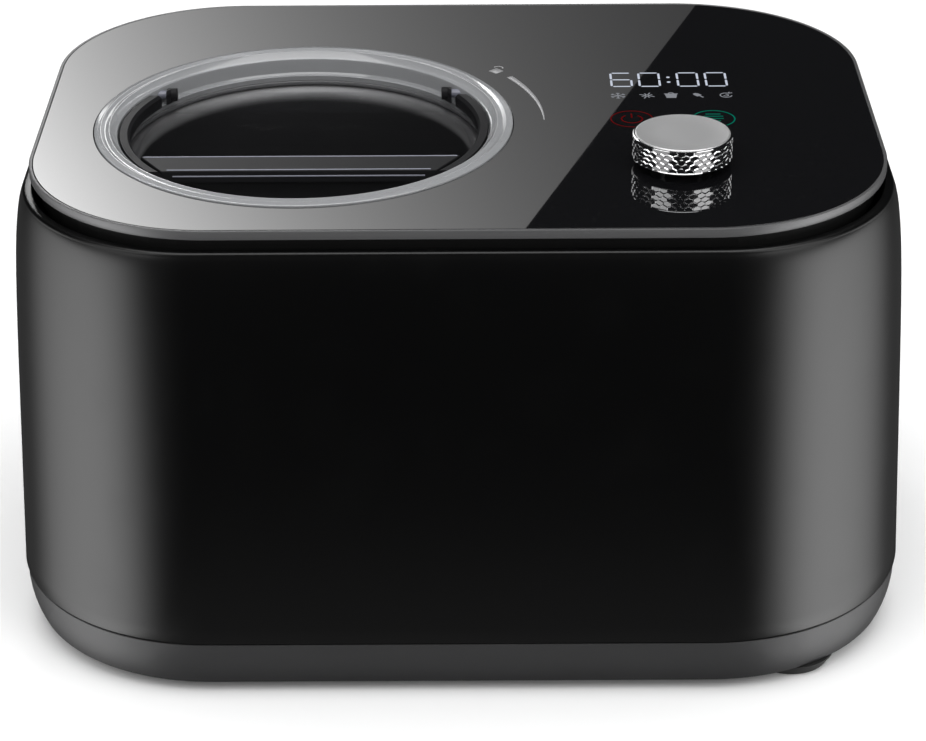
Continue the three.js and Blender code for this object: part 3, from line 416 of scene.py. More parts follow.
finishes = {
    "satinBlack": dict(color=(0.0012, 0.0012, 0.0013), rough=0.31, grain=1400, bump=0.2,
                       smudge=0.04, dust=0.004, specular=0.4),
    "mouldedBlack": dict(color=(0.026, 0.026, 0.027), rough=0.48, grain=1100, bump=0.5,
                         dust=0.03, smudge=0.08),
    "recessBlack": dict(color=(0.006, 0.006, 0.006), rough=0.6, grain=900, bump=0.3, specular=0.2),
    "rubberBlack": dict(color=(0.014, 0.014, 0.014), rough=0.78, grain=700, bump=0.6, smudge=0.1),
    "blackGlass": dict(color=(0.0035, 0.0035, 0.004), rough=0.012, grain=60, bump=0.0,
                       smudge=0.01, dust=0.004, drift=0.05, ior=1.9),
    "trimMetal": dict(color=(0.085, 0.085, 0.087), rough=0.38, metal=0.3,
                      brush=(24.0, 24.0, 2600.0), drift=0.25, bump=0.1),
    "knobPlating": dict(color=(0.78, 0.78, 0.79), rough=0.09, metal=1.0, grain=500, bump=0.03,
                        drift=0.06, smudge=0.03),
    "knobFace": dict(color=(0.76, 0.76, 0.765), rough=0.36, metal=0.82, grain=2600, bump=0.35,
                     drift=0.05, smudge=0.04),
    "plainSteel": dict(color=(0.48, 0.49, 0.5), rough=0.32, metal=1.0,
                       brush=(60.0, 60.0, 1200.0), drift=0.3, bump=0.2),
    "drumAluminium": dict(color=(0.62, 0.63, 0.64), rough=0.3, metal=1.0,
                          brush=(50.0, 50.0, 1800.0), drift=0.2, bump=0.15),
    "naturalNylon": dict(color=(0.72, 0.7, 0.64), rough=0.42, grain=800, bump=0.25, drift=0.06),
    "paddleGrey": dict(color=(0.022, 0.022, 0.023), rough=0.4, grain=800, bump=0.2),
    "siliconeGrey": dict(color=(0.12, 0.12, 0.125), rough=0.55, grain=600, bump=0.2),
    "linerGrey": dict(color=(0.2, 0.2, 0.205), rough=0.38, metal=0.6, grain=900, bump=0.15),
    "copperTube": dict(color=(0.6, 0.27, 0.15), rough=0.3, metal=1.0, grain=120, bump=0.1,
                       drift=0.5, smudge=0.2),
    "enamelBlack": dict(color=(0.02, 0.02, 0.022), rough=0.3, grain=300, bump=0.15, coat=0.4),
    "foamYellow": dict(color=(0.62, 0.52, 0.3), rough=0.9, grain=260, bump=0.8, drift=0.3,
                       depth=0.0005),
    "boardGreen": dict(color=(0.02, 0.13, 0.06), rough=0.35, grain=200, bump=0.1, drift=0.4,
                       coat=0.3),
    # lighter than the smoked flap: painted highlight lines on the flap's beads; the hinge pins also take
    # it
    "beadGrey": dict(color=(0.16, 0.165, 0.2), rough=0.25, grain=500, bump=0.05),
    "ventBlack": dict(color=(0.008, 0.008, 0.0085), rough=0.5, grain=1100, bump=0.5, specular=0.25),
    "labelGrey": dict(color=(0.3, 0.3, 0.3), rough=0.5, grain=500, bump=0.1),
}
materials = {name: surface(name, **values) for name, values in finishes.items()}


def clearPlastic(name, color, rough, ior, transmission, alpha, specular, coat=0.0):
    material, nodes, links, shader = newMaterial(name)
    setSockets(shader, {"Specular IOR Level": specular, "IOR": ior, "Alpha": alpha,
                        "Transmission Weight": transmission, "Coat Weight": coat,
                        "Coat Roughness": 0.03})
    addMarks(nodes, links, shader, rough, 0.06)
    texture = useGroup(nodes, grainGroup, Scale=160, Drift=0.06)
    tinted = toneColour(nodes, links, color, texture.outputs["Tone"])
    links.new(tinted, shader.inputs["Base Color"])
    addRelief(nodes, links, shader, texture.outputs["Height"], 0.04, 0.0001)
    return material


def bowlPaintedShade():
    # painted shade: the inside is painted near black below the rolled rim, where the light falls off
    # into the bowl, fading to bare metal at the rim
    material, nodes, links, shader = newMaterial("bowlPaintedShade")
    place = nodes.new("ShaderNodeTexCoord")
    parts = nodes.new("ShaderNodeSeparateXYZ")
    links.new(place.outputs["Object"], parts.inputs["Vector"])
    height = nodes.new("ShaderNodeMapRange")
    height.interpolation_type = "SMOOTHSTEP"
    height.inputs["From Min"].default_value = bowlHigh.z - 6.5 * mm
    height.inputs["From Max"].default_value = bowlHigh.z - 1.2 * mm
    links.new(parts.outputs["Z"], height.inputs["Value"])
    mix = nodes.new("ShaderNodeMix")
    mix.data_type = "RGBA"
    mix.inputs["A"].default_value = (0.006, 0.006, 0.0065, 1)
    mix.inputs["B"].default_value = (0.24, 0.24, 0.245, 1)
    links.new(height.outputs["Result"], mix.inputs["Factor"])
    texture = useGroup(nodes, grainGroup, Scale=500, Drift=0.15)
    shade = nodes.new("ShaderNodeVectorMath")
    shade.operation = "SCALE"
    links.new(mix.outputs["Result"], shade.inputs[0])
    links.new(texture.outputs["Tone"], shade.inputs["Scale"])
    links.new(shade.outputs["Vector"], shader.inputs["Base Color"])
    links.new(height.outputs["Result"], shader.inputs["Metallic"])
    addMarks(nodes, links, shader, 0.56, 0.06)
    shader.inputs["Specular IOR Level"].default_value = 0.25
    addRelief(nodes, links, shader, texture.outputs["Height"], 0.15, 0.00005)
    return material


def glowing(name, color, strength, printed=False):
    # a mark lit from under the glass, or printed on it, with a slightly uneven edge tone; a printed mark
    # glows faintly too, which is painted light, as no lamp lies under the print
    material, nodes, links, shader = newMaterial(name)
    texture = useGroup(nodes, grainGroup, Scale=700, Drift=0.25)
    tinted = toneColour(nodes, links, color, texture.outputs["Tone"])
    links.new(tinted, shader.inputs["Emission Color"])
    setSockets(shader, {"Emission Strength": strength, "Specular IOR Level": 0.5 if printed else 0.0})
    dimmed = nodes.new("ShaderNodeVectorMath")
    dimmed.operation = "SCALE"
    dimmed.inputs["Scale"].default_value = 0.5 if printed else 0.04
    links.new(tinted, dimmed.inputs[0])
    links.new(dimmed.outputs["Vector"], shader.inputs["Base Color"])
    addMarks(nodes, links, shader, 0.3, 0.05)
    return material


clearFinishes = {
    "clearLid": dict(color=(0.52, 0.53, 0.545), rough=0.1, ior=1.49, transmission=0.6, alpha=1.0,
                     specular=1.0, coat=0.1),
    "clearPane": dict(color=(0.02, 0.02, 0.022), rough=0.05, ior=1.3, transmission=0.0, alpha=0.06,
                      specular=0.04),
    "smokeFlap": dict(color=(0.012, 0.012, 0.013), rough=0.36, ior=1.45, transmission=0.1, alpha=1.0,
                      specular=0.05),
}
for finishName, values in clearFinishes.items():
    materials[finishName] = clearPlastic(finishName, **values)
materials["bowlPaintedShade"] = bowlPaintedShade()
litMarks = {"displayWhite": ((0.8, 0.86, 1.0), 0.66), "iconWhite": ((0.6, 0.62, 0.68), 0.34),
            "markRed": ((0.5, 0.012, 0.014), 0.16), "markGreen": ((0.0, 0.38, 0.26), 0.33)}
for markName, (color, strength) in litMarks.items():
    materials[markName] = glowing(markName, color, strength)
# the printed grey gets a faint glow: painted light on the print
materials["printGreyPaintedGlow"] = glowing("printGreyPaintedGlow", (0.4, 0.4, 0.41), 0.2, printed=True)
print("materials made:", len(materials))

# housing: one drawn wall with a rolled top edge
housing = {"wall": 3.0 * mm, "lean": 7.0 * mm, "shoulder": 5.5 * mm, "power": 8, "corner": 90 * mm,
           "edge": 1.4 * mm, "land": 4.2 * mm, "levels": 44, "easing": 1.7,
           "turnedIn": (9 * mm, 14 * mm), "gland": 9.3 * mm, "window": 5.6 * mm}


def housingLean(z):
    t = max(0.0, min(1.0, (z - bodyLow.z) / (bodyHigh.z - bodyLow.z)))
    return housing["lean"] * t + housing["shoulder"] * (1 - math.sqrt(1 - t ** housing["power"]))


def makeHousing():
    low = bodyLow.z
    high = bodyHigh.z
    edge = housing["edge"]
    profile = [(0.9 * mm, low), (0.25 * mm, low + 0.25 * mm), (0.02 * mm, low + 0.9 * mm)]
    for i in range(1, housing["levels"] + 1):
        u = i / housing["levels"]
        z = low + 1 * mm + (high - edge - low - 1 * mm) * (1 - (1 - u) ** housing["easing"])
        profile.append((housingLean(z), z))
    top = housingLean(high)
    start = profile[-1][0]
    for a in (20, 42, 64, 90):
        turnBy = math.radians(a)
        profile.append((start + (top - start + edge) * (1 - math.cos(turnBy)) * 0.6,
                        high - edge + edge * math.sin(turnBy)))
    inner = profile[-1][0] + housing["land"] - edge
    lipDepth, wallDepth = housing["turnedIn"]
    profile += [(inner - 0.5 * mm, high), (inner, high - 0.5 * mm), (inner, high - lipDepth)]
    profile += [(housingLean(high - wallDepth) + housing["wall"], high - wallDepth)]
    profile += [(housingLean((low + high) / 2) + housing["wall"], (low + high) / 2)]
    profile += [(housing["wall"], low)]
    bm, _, _ = sweptBand(profile, bodyHigh.x - bodyLow.x, bodyHigh.y - bodyLow.y, housing["corner"],
                         cornerSegments=32, flatCuts=10)
    piece = asPiece("housingShell", bm, "base_body", materials["satinBlack"], ["housing"],
                    angle=50)
    margin = Vector((housing["window"], 0, housing["window"]))
    panelLow = grilleLow + margin
    panelHigh = grilleHigh - margin
    window = boxMesh((panelLow.x, bodyHigh.y - 30 * mm, panelLow.z),
                     (panelHigh.x, bodyHigh.y + 10 * mm, panelHigh.z))
    hole = bmesh.new()
    glandX = (glandLow.x + glandHigh.x) / 2
    glandZ = (glandLow.z + glandHigh.z) / 2
    turnToY = Matrix.Translation((glandX, bodyHigh.y, glandZ)) @ Matrix.Rotation(math.pi / 2, 4, "X")
    bmesh.ops.create_cone(hole, cap_ends=True, segments=40, radius1=housing["gland"],
                          radius2=housing["gland"], depth=40 * mm, matrix=turnToY)
    return cutAway(piece, [window, hole])


makeHousing()
print("housing made")

# base: a moulded band tucked in under the housing, with intake slots
base = {"tuck": 4.0 * mm, "power": 2.4, "rim": 0.8 * mm, "wall": 3 * mm, "levels": 16,
        "slots": 7, "slotX": 40 * mm, "slotY": 100 * mm, "pitch": 12 * mm, "slotSize": (5 * mm, 34 * mm),
        "seam": 1.15 * mm, "lipPlay": 0.5 * mm, "lip": 2 * mm}


def makeBase():
    low = baseLow.z
    high = bodyLow.z - base["seam"]
    profile = []
    for i in range(base["levels"] + 1):
        t = 1 - i / base["levels"]
        inset = base["rim"] + base["tuck"] * t ** base["power"]
        profile.append((inset, low + (high - low) * (1 - t)))
    profile += [(base["rim"] + 0.25 * mm, high + 0.3 * mm), (base["rim"] + 0.9 * mm, high + 0.4 * mm)]
    lip = housing["wall"] + base["lipPlay"]
    within = lip + base["lip"]
    profile += [(lip, high + 0.4 * mm), (lip, baseHigh.z), (within, baseHigh.z)]
    profile += [(within, low + 8 * mm), (base["tuck"] + 5 * mm, low + base["wall"])]
    bm, first, last = sweptBand(profile, bodyHigh.x - bodyLow.x, bodyHigh.y - bodyLow.y,
                                housing["corner"], cornerSegments=32, flatCuts=10, closed=False)
    bmesh.ops.contextual_create(bm, geom=first)
    bmesh.ops.contextual_create(bm, geom=last)
    piece = asPiece("baseBand", bm, "base_body", materials["mouldedBlack"], ["base_pan"],
                    angle=40)
    cutters = []
    for i in range(base["slots"]):
        x = base["slotX"] + base["pitch"] * (i - (base["slots"] - 1) / 2)
        w, d = base["slotSize"]
        cutters.append(boxMesh((x - w / 2, base["slotY"] - d / 2, low - 5 * mm),
                               (x + w / 2, base["slotY"] + d / 2, low + 9 * mm)))
    return cutAway(piece, cutters)


makeBase()

foot = {"taper": 2 * mm, "round": 1.6 * mm, "treads": 4, "pitch": 2.6 * mm, "groove": 0.5 * mm,
        "hole": 4.4 * mm, "holeDepth": 4 * mm}


def makeFoot(node):
    low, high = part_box(node)
    centre = ((low.x + high.x) / 2, (low.y + high.y) / 2)
    radius = (high.x - low.x) / 2
    toe = radius - foot["taper"]
    bend = foot["round"]
    profile = [(0.0, high.z), (radius, high.z), (radius - 0.1 * mm, high.z - 1 * mm)]
    profile += arc(toe - bend, low.z + bend, bend, 0, -90, 5)
    for i in range(foot["treads"]):
        r = toe - 2 * bend - i * foot["pitch"]
        profile += [(r, low.z), (r - 0.3 * mm, low.z + foot["groove"]),
                    (r - 0.9 * mm, low.z + foot["groove"]), (r - 1.2 * mm, low.z)]
    hole = foot["hole"]
    depth = low.z + foot["holeDepth"]
    profile += [(hole, low.z), (hole - 0.3 * mm, low.z + 0.4 * mm), (hole - 0.3 * mm, depth),
                (0.0, depth)]
    bm = turned(profile, segments=56, closed=False, centre=centre)
    asPiece(node + "Pad", bm, "base_body", materials["rubberBlack"], [node])
    addScrewHead(node + "Screw", centre, depth - 0.1 * mm, -1)


def addScrewHead(name, centre, z, facing, radius=3.0 * mm):
    # a pan head with a cross recess, facing up (1) or down (-1)
    h = 1.7 * mm * facing
    bm = turned([(0.0, z - 0.2 * mm * facing), (radius, z), (radius * 0.98, z + h * 0.35),
                 (radius * 0.8, z + h * 0.8), (radius * 0.45, z + h), (0.0, z + h * 1.02)],
                segments=28, closed=False, centre=centre)
    head = asPiece(name, bm, "base_body", materials["plainSteel"], angle=60)
    cutters = []
    for w, d in ((0.7 * mm, 3.4 * mm), (3.4 * mm, 0.7 * mm)):
        zs = sorted((z + h * 0.45, z + h * 1.6))
        cutters.append(boxMesh((centre[0] - w / 2, centre[1] - d / 2, zs[0]),
                               (centre[0] + w / 2, centre[1] + d / 2, zs[1])))
    cutAway(head, cutters)


for footNode in ("foot_front_left", "foot_front_right", "foot_rear_left", "foot_rear_right"):
    makeFoot(footNode)
print("base and feet made")

# top: metal rim, black glass and the marks on it
top = {"corner": 82 * mm, "rim": 1.5 * mm, "ease": 0.35 * mm, "floor": 1.0 * mm, "ledge": 5 * mm,
       "lidPlay": 0.4 * mm, "glassEase": 0.3 * mm, "knobHole": 5.3 * mm}
plateWidth = trimHigh.x - trimLow.x
plateDepth = trimHigh.y - trimLow.y


def makeTrim():
    low = trimLow.z
    high = trimHigh.z
    e = top["ease"]
    rim = top["rim"]
    profile = [(e, low), (0.1 * mm, low + 0.1 * mm), (0, low + e), (0, high - e),
               (0.1 * mm, high - 0.1 * mm), (e, high), (rim - 0.2 * mm, high), (rim, high - 0.2 * mm),
               (rim, low + top["floor"]), (rim + top["ledge"], low + top["floor"]),
               (rim + top["ledge"], low)]
    bm, _, _ = sweptBand(profile, plateWidth, plateDepth, top["corner"], cornerSegments=32)
    return asPiece("topRim", bm, "base_body", materials["trimMetal"], ["top_trim"],
                   angle=25)


def makeGlass():
    # the outline and the holes are filled as one face, then given thickness and eased edges
    bm = bmesh.new()
    inset = (plateWidth - (glassHigh.x - glassLow.x)) / 2
    roundedLoop(bm, glassHigh.x - glassLow.x, glassHigh.y - glassLow.y, top["corner"] - inset,
                glassHigh.z, 32, 8)
    bmesh.ops.create_circle(bm, radius=lidRadius + top["lidPlay"], segments=128,
                            matrix=Matrix.Translation((wellX, wellY, glassHigh.z)))
    bmesh.ops.create_circle(bm, radius=top["knobHole"], segments=32,
                            matrix=Matrix.Translation((knobX, knobY, glassHigh.z)))
    bmesh.ops.triangle_fill(bm, use_beauty=True, use_dissolve=False, edges=bm.edges)
    faceUp(bm)
    made = bmesh.ops.extrude_face_region(bm, geom=list(bm.faces))
    bmesh.ops.translate(bm, verts=vertsOf(made), vec=(0, 0, glassLow.z - glassHigh.z))
    piece = asPiece("topGlass", bm, "base_body", materials["blackGlass"], ["top_glass"],
                    angle=30)
    addBevel(piece, top["glassEase"], 2, 60)
    return piece


makeTrim()
makeGlass()

frame["nodes"]["top_deck"].material_slots[0].material = materials["recessBlack"]
frame["nodes"]["paddle"].material_slots[0].material = materials["paddleGrey"]

marks = {"lift": 0.02 * mm, "thickness": 0.05 * mm, "digitWidth": 10.2 * mm, "digitHeight": 17.5 * mm,
         "stroke": 1.0 * mm, "digitY": 23.5 * mm, "digitX": (69.4, 82.2, 99.8, 112.7), "colonX": 96.1,
         "iconY": 12.7 * mm, "iconX": (72.2, 85.3, 96.2, 108.6, 121.0), "iconStroke": 0.55 * mm,
         "ringY": -15.0 * mm, "redX": 77.1 * mm, "greenX": 113.4 * mm, "ringRadius": 9.3 * mm}


def flatBar(bm, start, end, width):
    start = Vector((*start, 0))
    end = Vector((*end, 0))
    along = end - start
    place = Matrix.Translation((start + end) / 2 + Vector((0, 0, plateZ + marks["lift"])))
    place = place @ Matrix.Rotation(math.atan2(along.y, along.x), 4, "Z")
    place = place @ Matrix.Diagonal((along.length, width, 1, 1))
    bmesh.ops.create_grid(bm, x_segments=1, y_segments=1, size=0.5, matrix=place)


def flatArc(bm, centre, radius, width, startDegrees, endDegrees, endWidth=None, steps=48):
    # an arc band; the width may taper from one end to the other
    last = width if endWidth is None else endWidth
    a = math.radians(startDegrees)
    z = plateZ + marks["lift"]
    ends = []
    for side in (-0.5, 0.5):
        r = radius + side * width
        ends.append(bm.verts.new((centre[0] + r * math.cos(a), centre[1] + r * math.sin(a), z)))
    edge = bm.edges.new(ends)
    sweep = math.radians(endDegrees - startDegrees)
    before = set(bm.verts) - set(ends)
    bmesh.ops.spin(bm, geom=ends + [edge], cent=(*centre, 0), axis=(0, 0, 1), angle=sweep,
                   steps=steps, use_duplicate=False)
    for v in set(bm.verts) - before:
        out = Vector((v.co.x - centre[0], v.co.y - centre[1]))
        share = (math.atan2(out.y, out.x) - a) / sweep if endWidth is not None else 0
        w = width + (last - width) * max(0.0, min(1.0, share))
        r = radius + math.copysign(0.5 * w, out.length - radius)
        out = out.normalized() * r
        v.co = Vector((centre[0] + out.x, centre[1] + out.y, z))


def asMark(name, bm, material):
    bmesh.ops.remove_doubles(bm, verts=bm.verts, dist=1e-7)
    faceUp(bm)
    piece = asPiece(name, bm, "base_body", materials[material], outward=False)
    return addThickness(piece, marks["thickness"], 1)


def segmentBar(bm, a, b, width):
    # a display segment: a bar with pointed ends
    a = Vector((*a, plateZ + marks["lift"]))
    b = Vector((*b, plateZ + marks["lift"]))
    along = (b - a).normalized()
    side = Vector((-along.y, along.x, 0)) * width / 2
    tip = along * width / 2
    ring = [a, a + tip - side, b - tip - side, b, b - tip + side, a + tip + side]
    bm.faces.new([bm.verts.new(p) for p in ring])


segmentsOf = {"6": "afedcg", "0": "abcdef"}


def makeDigits():
    bm = bmesh.new()
    w = marks["digitWidth"]
    h = marks["digitHeight"]
    gapLength = 0.5 * mm
    for digit, leftEdge in zip("6000", marks["digitX"]):
        x0 = leftEdge * mm + marks["stroke"] / 2
        x1 = x0 + w - marks["stroke"]
        y0 = marks["digitY"] + marks["stroke"] / 2
        y2 = y0 + h - marks["stroke"]
        y1 = (y0 + y2) / 2
        corners = {"a": ((x0, y2), (x1, y2)), "b": ((x1, y2), (x1, y1)), "c": ((x1, y1), (x1, y0)),
                   "d": ((x1, y0), (x0, y0)), "e": ((x0, y0), (x0, y1)), "f": ((x0, y1), (x0, y2)),
                   "g": ((x0, y1), (x1, y1))}
        for letter in segmentsOf[digit]:
            a, b = (Vector(p) for p in corners[letter])
            pull = (b - a).normalized() * gapLength
            segmentBar(bm, a + pull, b - pull, marks["stroke"])
    for share in (0.32, 0.66):
        y = marks["digitY"] + h * share
        bmesh.ops.create_circle(bm, cap_ends=True, radius=0.85 * mm, segments=16,
                                matrix=Matrix.Translation((marks["colonX"] * mm, y,
                                                           plateZ + marks["lift"])))
    return asMark("displayDigits", bm, "displayWhite")


def iconSnow(bm, x, y):
    for k in range(3):
        a = math.radians(90 + 60 * k)
        d = Vector((math.cos(a), math.sin(a))) * 3.4 * mm
        flatBar(bm, (x - d.x, y - d.y), (x + d.x, y + d.y), marks["iconStroke"])
        for s in (-1, 1):
            tip = Vector((x, y)) + d * 0.62 * s
            for b in (-35, 35):
                c = a + math.radians(b) + (math.pi if s < 0 else 0)
                end = tip + Vector((math.cos(c), math.sin(c))) * 1.4 * mm
                flatBar(bm, tip, end, marks["iconStroke"] * 0.8)


def iconMix(bm, x, y):
    for k in range(8):
        a = math.radians(22.5 + 45 * k)
        inner = Vector((x + 1.0 * mm * math.cos(a), y + 1.0 * mm * math.sin(a)))
        reach = 3.6 * mm if k % 2 else 2.6 * mm
        outer = Vector((x + reach * math.cos(a), y + reach * math.sin(a)))
        flatBar(bm, inner, outer, marks["iconStroke"])
    flatArc(bm, (x, y), 0.8 * mm, 0.5 * mm, 0, 360, steps=20)


def iconTub(bm, x, y):
    for k in range(5):
        flatBar(bm, (x - (2.2 + 0.12 * k) * mm, y + (k * 0.85 - 2.4) * mm),
                (x + (2.2 + 0.12 * k) * mm, y + (k * 0.85 - 2.4) * mm), 0.95 * mm)
    flatBar(bm, (x - 3.1 * mm, y + 1.9 * mm), (x + 3.1 * mm, y + 1.9 * mm), 0.7 * mm)
    flatArc(bm, (x, y + 2.3 * mm), 1.1 * mm, 0.5 * mm, 0, 180, steps=14)


def iconLolly(bm, x, y):
    along = Vector((-0.62, 0.78))
    for k in range(4):
        c = Vector((x, y)) + along * (0.9 * k - 0.2) * mm
        side = Vector((along.y, -along.x)) * (1.35 if k < 3 else 0.9) * mm
        flatBar(bm, c - side, c + side, 0.95 * mm)
    flatBar(bm, Vector((x, y)) - along * 0.6 * mm, Vector((x, y)) - along * 3.2 * mm, 0.7 * mm)


def iconChurn(bm, x, y):
    flatArc(bm, (x, y), 2.6 * mm, marks["iconStroke"], 60, 350, steps=30)
    flatArc(bm, (x, y), 1.1 * mm, marks["iconStroke"], 200, 460, steps=20)
    flatBar(bm, (x + 1.2 * mm, y + 2.2 * mm), (x + 3.0 * mm, y + 2.9 * mm), marks["iconStroke"])
    flatBar(bm, (x + 1.2 * mm, y + 2.2 * mm), (x + 1.7 * mm, y + 3.8 * mm), marks["iconStroke"])


def makeIcons():
    bm = bmesh.new()
    drawers = (iconSnow, iconMix, iconTub, iconLolly, iconChurn)
    for draw, x in zip(drawers, marks["iconX"]):
        draw(bm, x * mm, marks["iconY"])
    return asMark("programIcons", bm, "iconWhite")


def makeKeys():
    x, y, r = marks["redX"], marks["ringY"], marks["ringRadius"]
    bm = bmesh.new()
    flatArc(bm, (x, y), r, 0.55 * mm, 0, 360, steps=64)
    flatArc(bm, (x, y), 4.6 * mm, 0.65 * mm, 125, 415, steps=40)
    flatBar(bm, (x, y + 1.2 * mm), (x, y + 6.2 * mm), 0.65 * mm)
    asMark("powerKey", bm, "markRed")
    x = marks["greenX"]
    bm = bmesh.new()
    flatArc(bm, (x, y), r, 0.6 * mm, 0, 360, steps=64)
    for k, half in ((-1, 3.0), (0, 4.4), (1, 4.4), (2, 3.4)):
        flatBar(bm, (x - half * mm, y + k * 2.6 * mm), (x + half * mm, y + k * 2.6 * mm), 0.7 * mm)
    asMark("startKey", bm, "markGreen")


lock = {"centre": (17.4 * mm, 44.2 * mm), "body": 5.0 * mm, "shackle": 2.0 * mm,
        "arcRadius": 106.4 * mm, "from": 30.5, "to": 1.0,
        "thick": 3.0 * mm, "thin": 0.5 * mm}


def makeLockMarks():
    x, y = lock["centre"]
    bm = bmesh.new()
    half = lock["body"] / math.sqrt(8)
    flatBar(bm, (x - half, y - half), (x + half, y + half), lock["body"])
    flatArc(bm, (x + 1.1 * mm, y + 3.8 * mm), lock["shackle"], 0.7 * mm, -20, 160, steps=22)
    asMark("openPadlock", bm, "printGreyPaintedGlow")
    bm = bmesh.new()
    flatArc(bm, (wellX, wellY), lock["arcRadius"], lock["thick"], lock["from"], lock["to"],
            endWidth=lock["thin"], steps=60)
    asMark("turnArc", bm, "printGreyPaintedGlow")


makeDigits()
makeIcons()
makeKeys()
makeLockMarks()
print("top and its marks made")

# lid: a stepped clear ring with a skirt, a web and a smoked flap
lid = {"inner": 82.5 * mm, "lugs": 3, "web": 2 * mm, "webRise": 2.3 * mm, "ledge": 3 * mm,
       "skirt": 3.6 * mm}
lug = {"sweep": 18, "inset": 3.5 * mm, "height": 2.5 * mm, "slope": 0.5 * mm}


def makeLidRing():
    outer = lidRadius
    inner = lid["inner"]
    z = plateZ
    rimUnder = trimLow.z
    skirtOut = inner + lid["skirt"]
    profile = [(skirtOut, rimUnder), (outer - 0.4 * mm, rimUnder), (outer, rimUnder + 0.4 * mm)]
    profile += [(outer, z + 0.1 * mm)]
    profile += arc(outer - 0.7 * mm, z + 0.1 * mm, 0.7 * mm, 0, 80, 5)
    profile += [(outer - 2.0 * mm, z + 0.95 * mm)]
    profile += arc(outer - 3.0 * mm, z + 0.5 * mm, 0.7 * mm, 70, 110, 3)
    profile += [(outer - 4.6 * mm, z + 0.55 * mm), (outer - 5.2 * mm, z + 0.6 * mm)]
    profile += arc(inner + 3.4 * mm, z + 0.4 * mm, 0.7 * mm, 75, 110, 3)
    profile += [(inner + 2.2 * mm, z - 0.2 * mm), (inner + 1.0 * mm, z - 1.1 * mm)]
    profile += arc(inner + 0.5 * mm, z - 2.0 * mm, 0.5 * mm, 90, 180, 4)
    webTop = lidLow.z + lid["webRise"] + lid["web"]
    ledge = inner - lid["ledge"]
    profile += [(inner, webTop + 0.8 * mm), (inner - 0.8 * mm, webTop), (ledge, webTop),
                (ledge, webTop - lid["web"]), (inner, webTop - lid["web"]),
                (inner, lidLow.z), (skirtOut, lidLow.z)]
    bm = turned(profile, segments=144, centre=(wellX, wellY))
    return asPiece("lidRing", bm, "lid_body", materials["clearLid"], ["lid_ring"],
                   angle=28)


refill = {"margin": 9.5 * mm, "front": -40 * mm, "back": 38 * mm}


def makeLidWeb():
    # the flat floor of the lid, in front of and behind the refill mouth
    webTop = lidLow.z + lid["webRise"] + lid["web"]
    outerR = lid["inner"] - lid["ledge"] - 0.05 * mm
    mouthR = lid["inner"] - refill["margin"]
    bm = bmesh.new()
    bmesh.ops.create_circle(bm, radius=outerR, segments=144,
                            matrix=Matrix.Translation((wellX, wellY, webTop)))
    outerEdges = list(bm.edges)
    made = bmesh.ops.create_circle(bm, cap_ends=True, radius=mouthR, segments=144,
                                   matrix=Matrix.Translation((wellX, wellY, webTop)))
    mouth = list({f for v in made["verts"] for f in v.link_faces})
    for y, normal in ((refill["front"], (0, -1, 0)), (refill["back"], (0, 1, 0))):
        edges = {e for f in mouth for e in f.edges}
        verts = {v for f in mouth for v in f.verts}
        geom = mouth + list(edges) + list(verts)
        bmesh.ops.bisect_plane(bm, geom=geom, plane_co=(0, wellY + y, 0), plane_no=normal,
                               clear_outer=True)
        mouth = list(bm.faces)
    innerEdges = [e for e in bm.edges if e not in set(outerEdges)]
    bmesh.ops.delete(bm, geom=mouth, context="FACES_ONLY")
    bmesh.ops.triangle_fill(bm, use_beauty=True, use_dissolve=False, edges=outerEdges + innerEdges)
    faceUp(bm)
    piece = asPiece("lidWeb", bm, "lid_body", materials["clearPane"], outward=False)
    return addThickness(piece, lid["web"] - 0.1 * mm, -1)


def bayonetBlock(corners, middle):
    # carries a small section round the well over the sweep of a lug
    bm = bmesh.new()
    start = math.radians(middle - lug["sweep"] / 2)
    place = Matrix.Translation((wellX, wellY, 0)) @ Matrix.Rotation(start, 4, "Z")
    face = bm.faces.new([bm.verts.new(place @ Vector((r, 0, z))) for r, z in corners])
    bmesh.ops.spin(bm, geom=[face], cent=(wellX, wellY, 0), axis=(0, 0, 1),
                   angle=math.radians(lug["sweep"]), steps=10, use_duplicate=False)
    bmesh.ops.contextual_create(bm, geom=[face])
    return bm


def makeLug(index):
    # a bayonet lug under the skirt
    r0 = lid["inner"] + lid["skirt"] + 0.02 * mm
    r1 = lidRadius - lug["inset"]
    high = lidLow.z + lug["height"]
    corners = [(r0, lidLow.z), (r1, lidLow.z + lug["slope"]), (r1, high), (r0, high)]
    asPiece("lidLug%d" % (index + 1), bayonetBlock(corners, 90 + 120 * index), "lid_body",
            materials["clearLid"])


flap = {"frame": 4.4 * mm, "front": -49.6 * mm, "bar": 16.8 * mm, "hinge": 46.7 * mm,
        "radius": 81.4 * mm, "relief": 65.1 * mm, "reliefDepth": 8.5 * mm, "pane": 2.0 * mm,
        "ease": 0.5 * mm, "bead": 0.42 * mm, "knuckle": 3 * mm, "knuckleWidth": 4.6 * mm}


def cutAcross(bm, front, back, fill=False):
    # keeps what lies between a front and a back plane
    for y, normal in ((front, (0, -1, 0)), (back, (0, 1, 0))):
        geom = list(bm.verts) + list(bm.edges) + list(bm.faces)
        cut = bmesh.ops.bisect_plane(bm, geom=geom, plane_co=(0, wellY + y, 0), plane_no=normal,
                                     clear_outer=True)
        if fill:
            rim = [g for g in cut["geom_cut"] if isinstance(g, bmesh.types.BMEdge)]
            bmesh.ops.holes_fill(bm, edges=rim, sides=0)


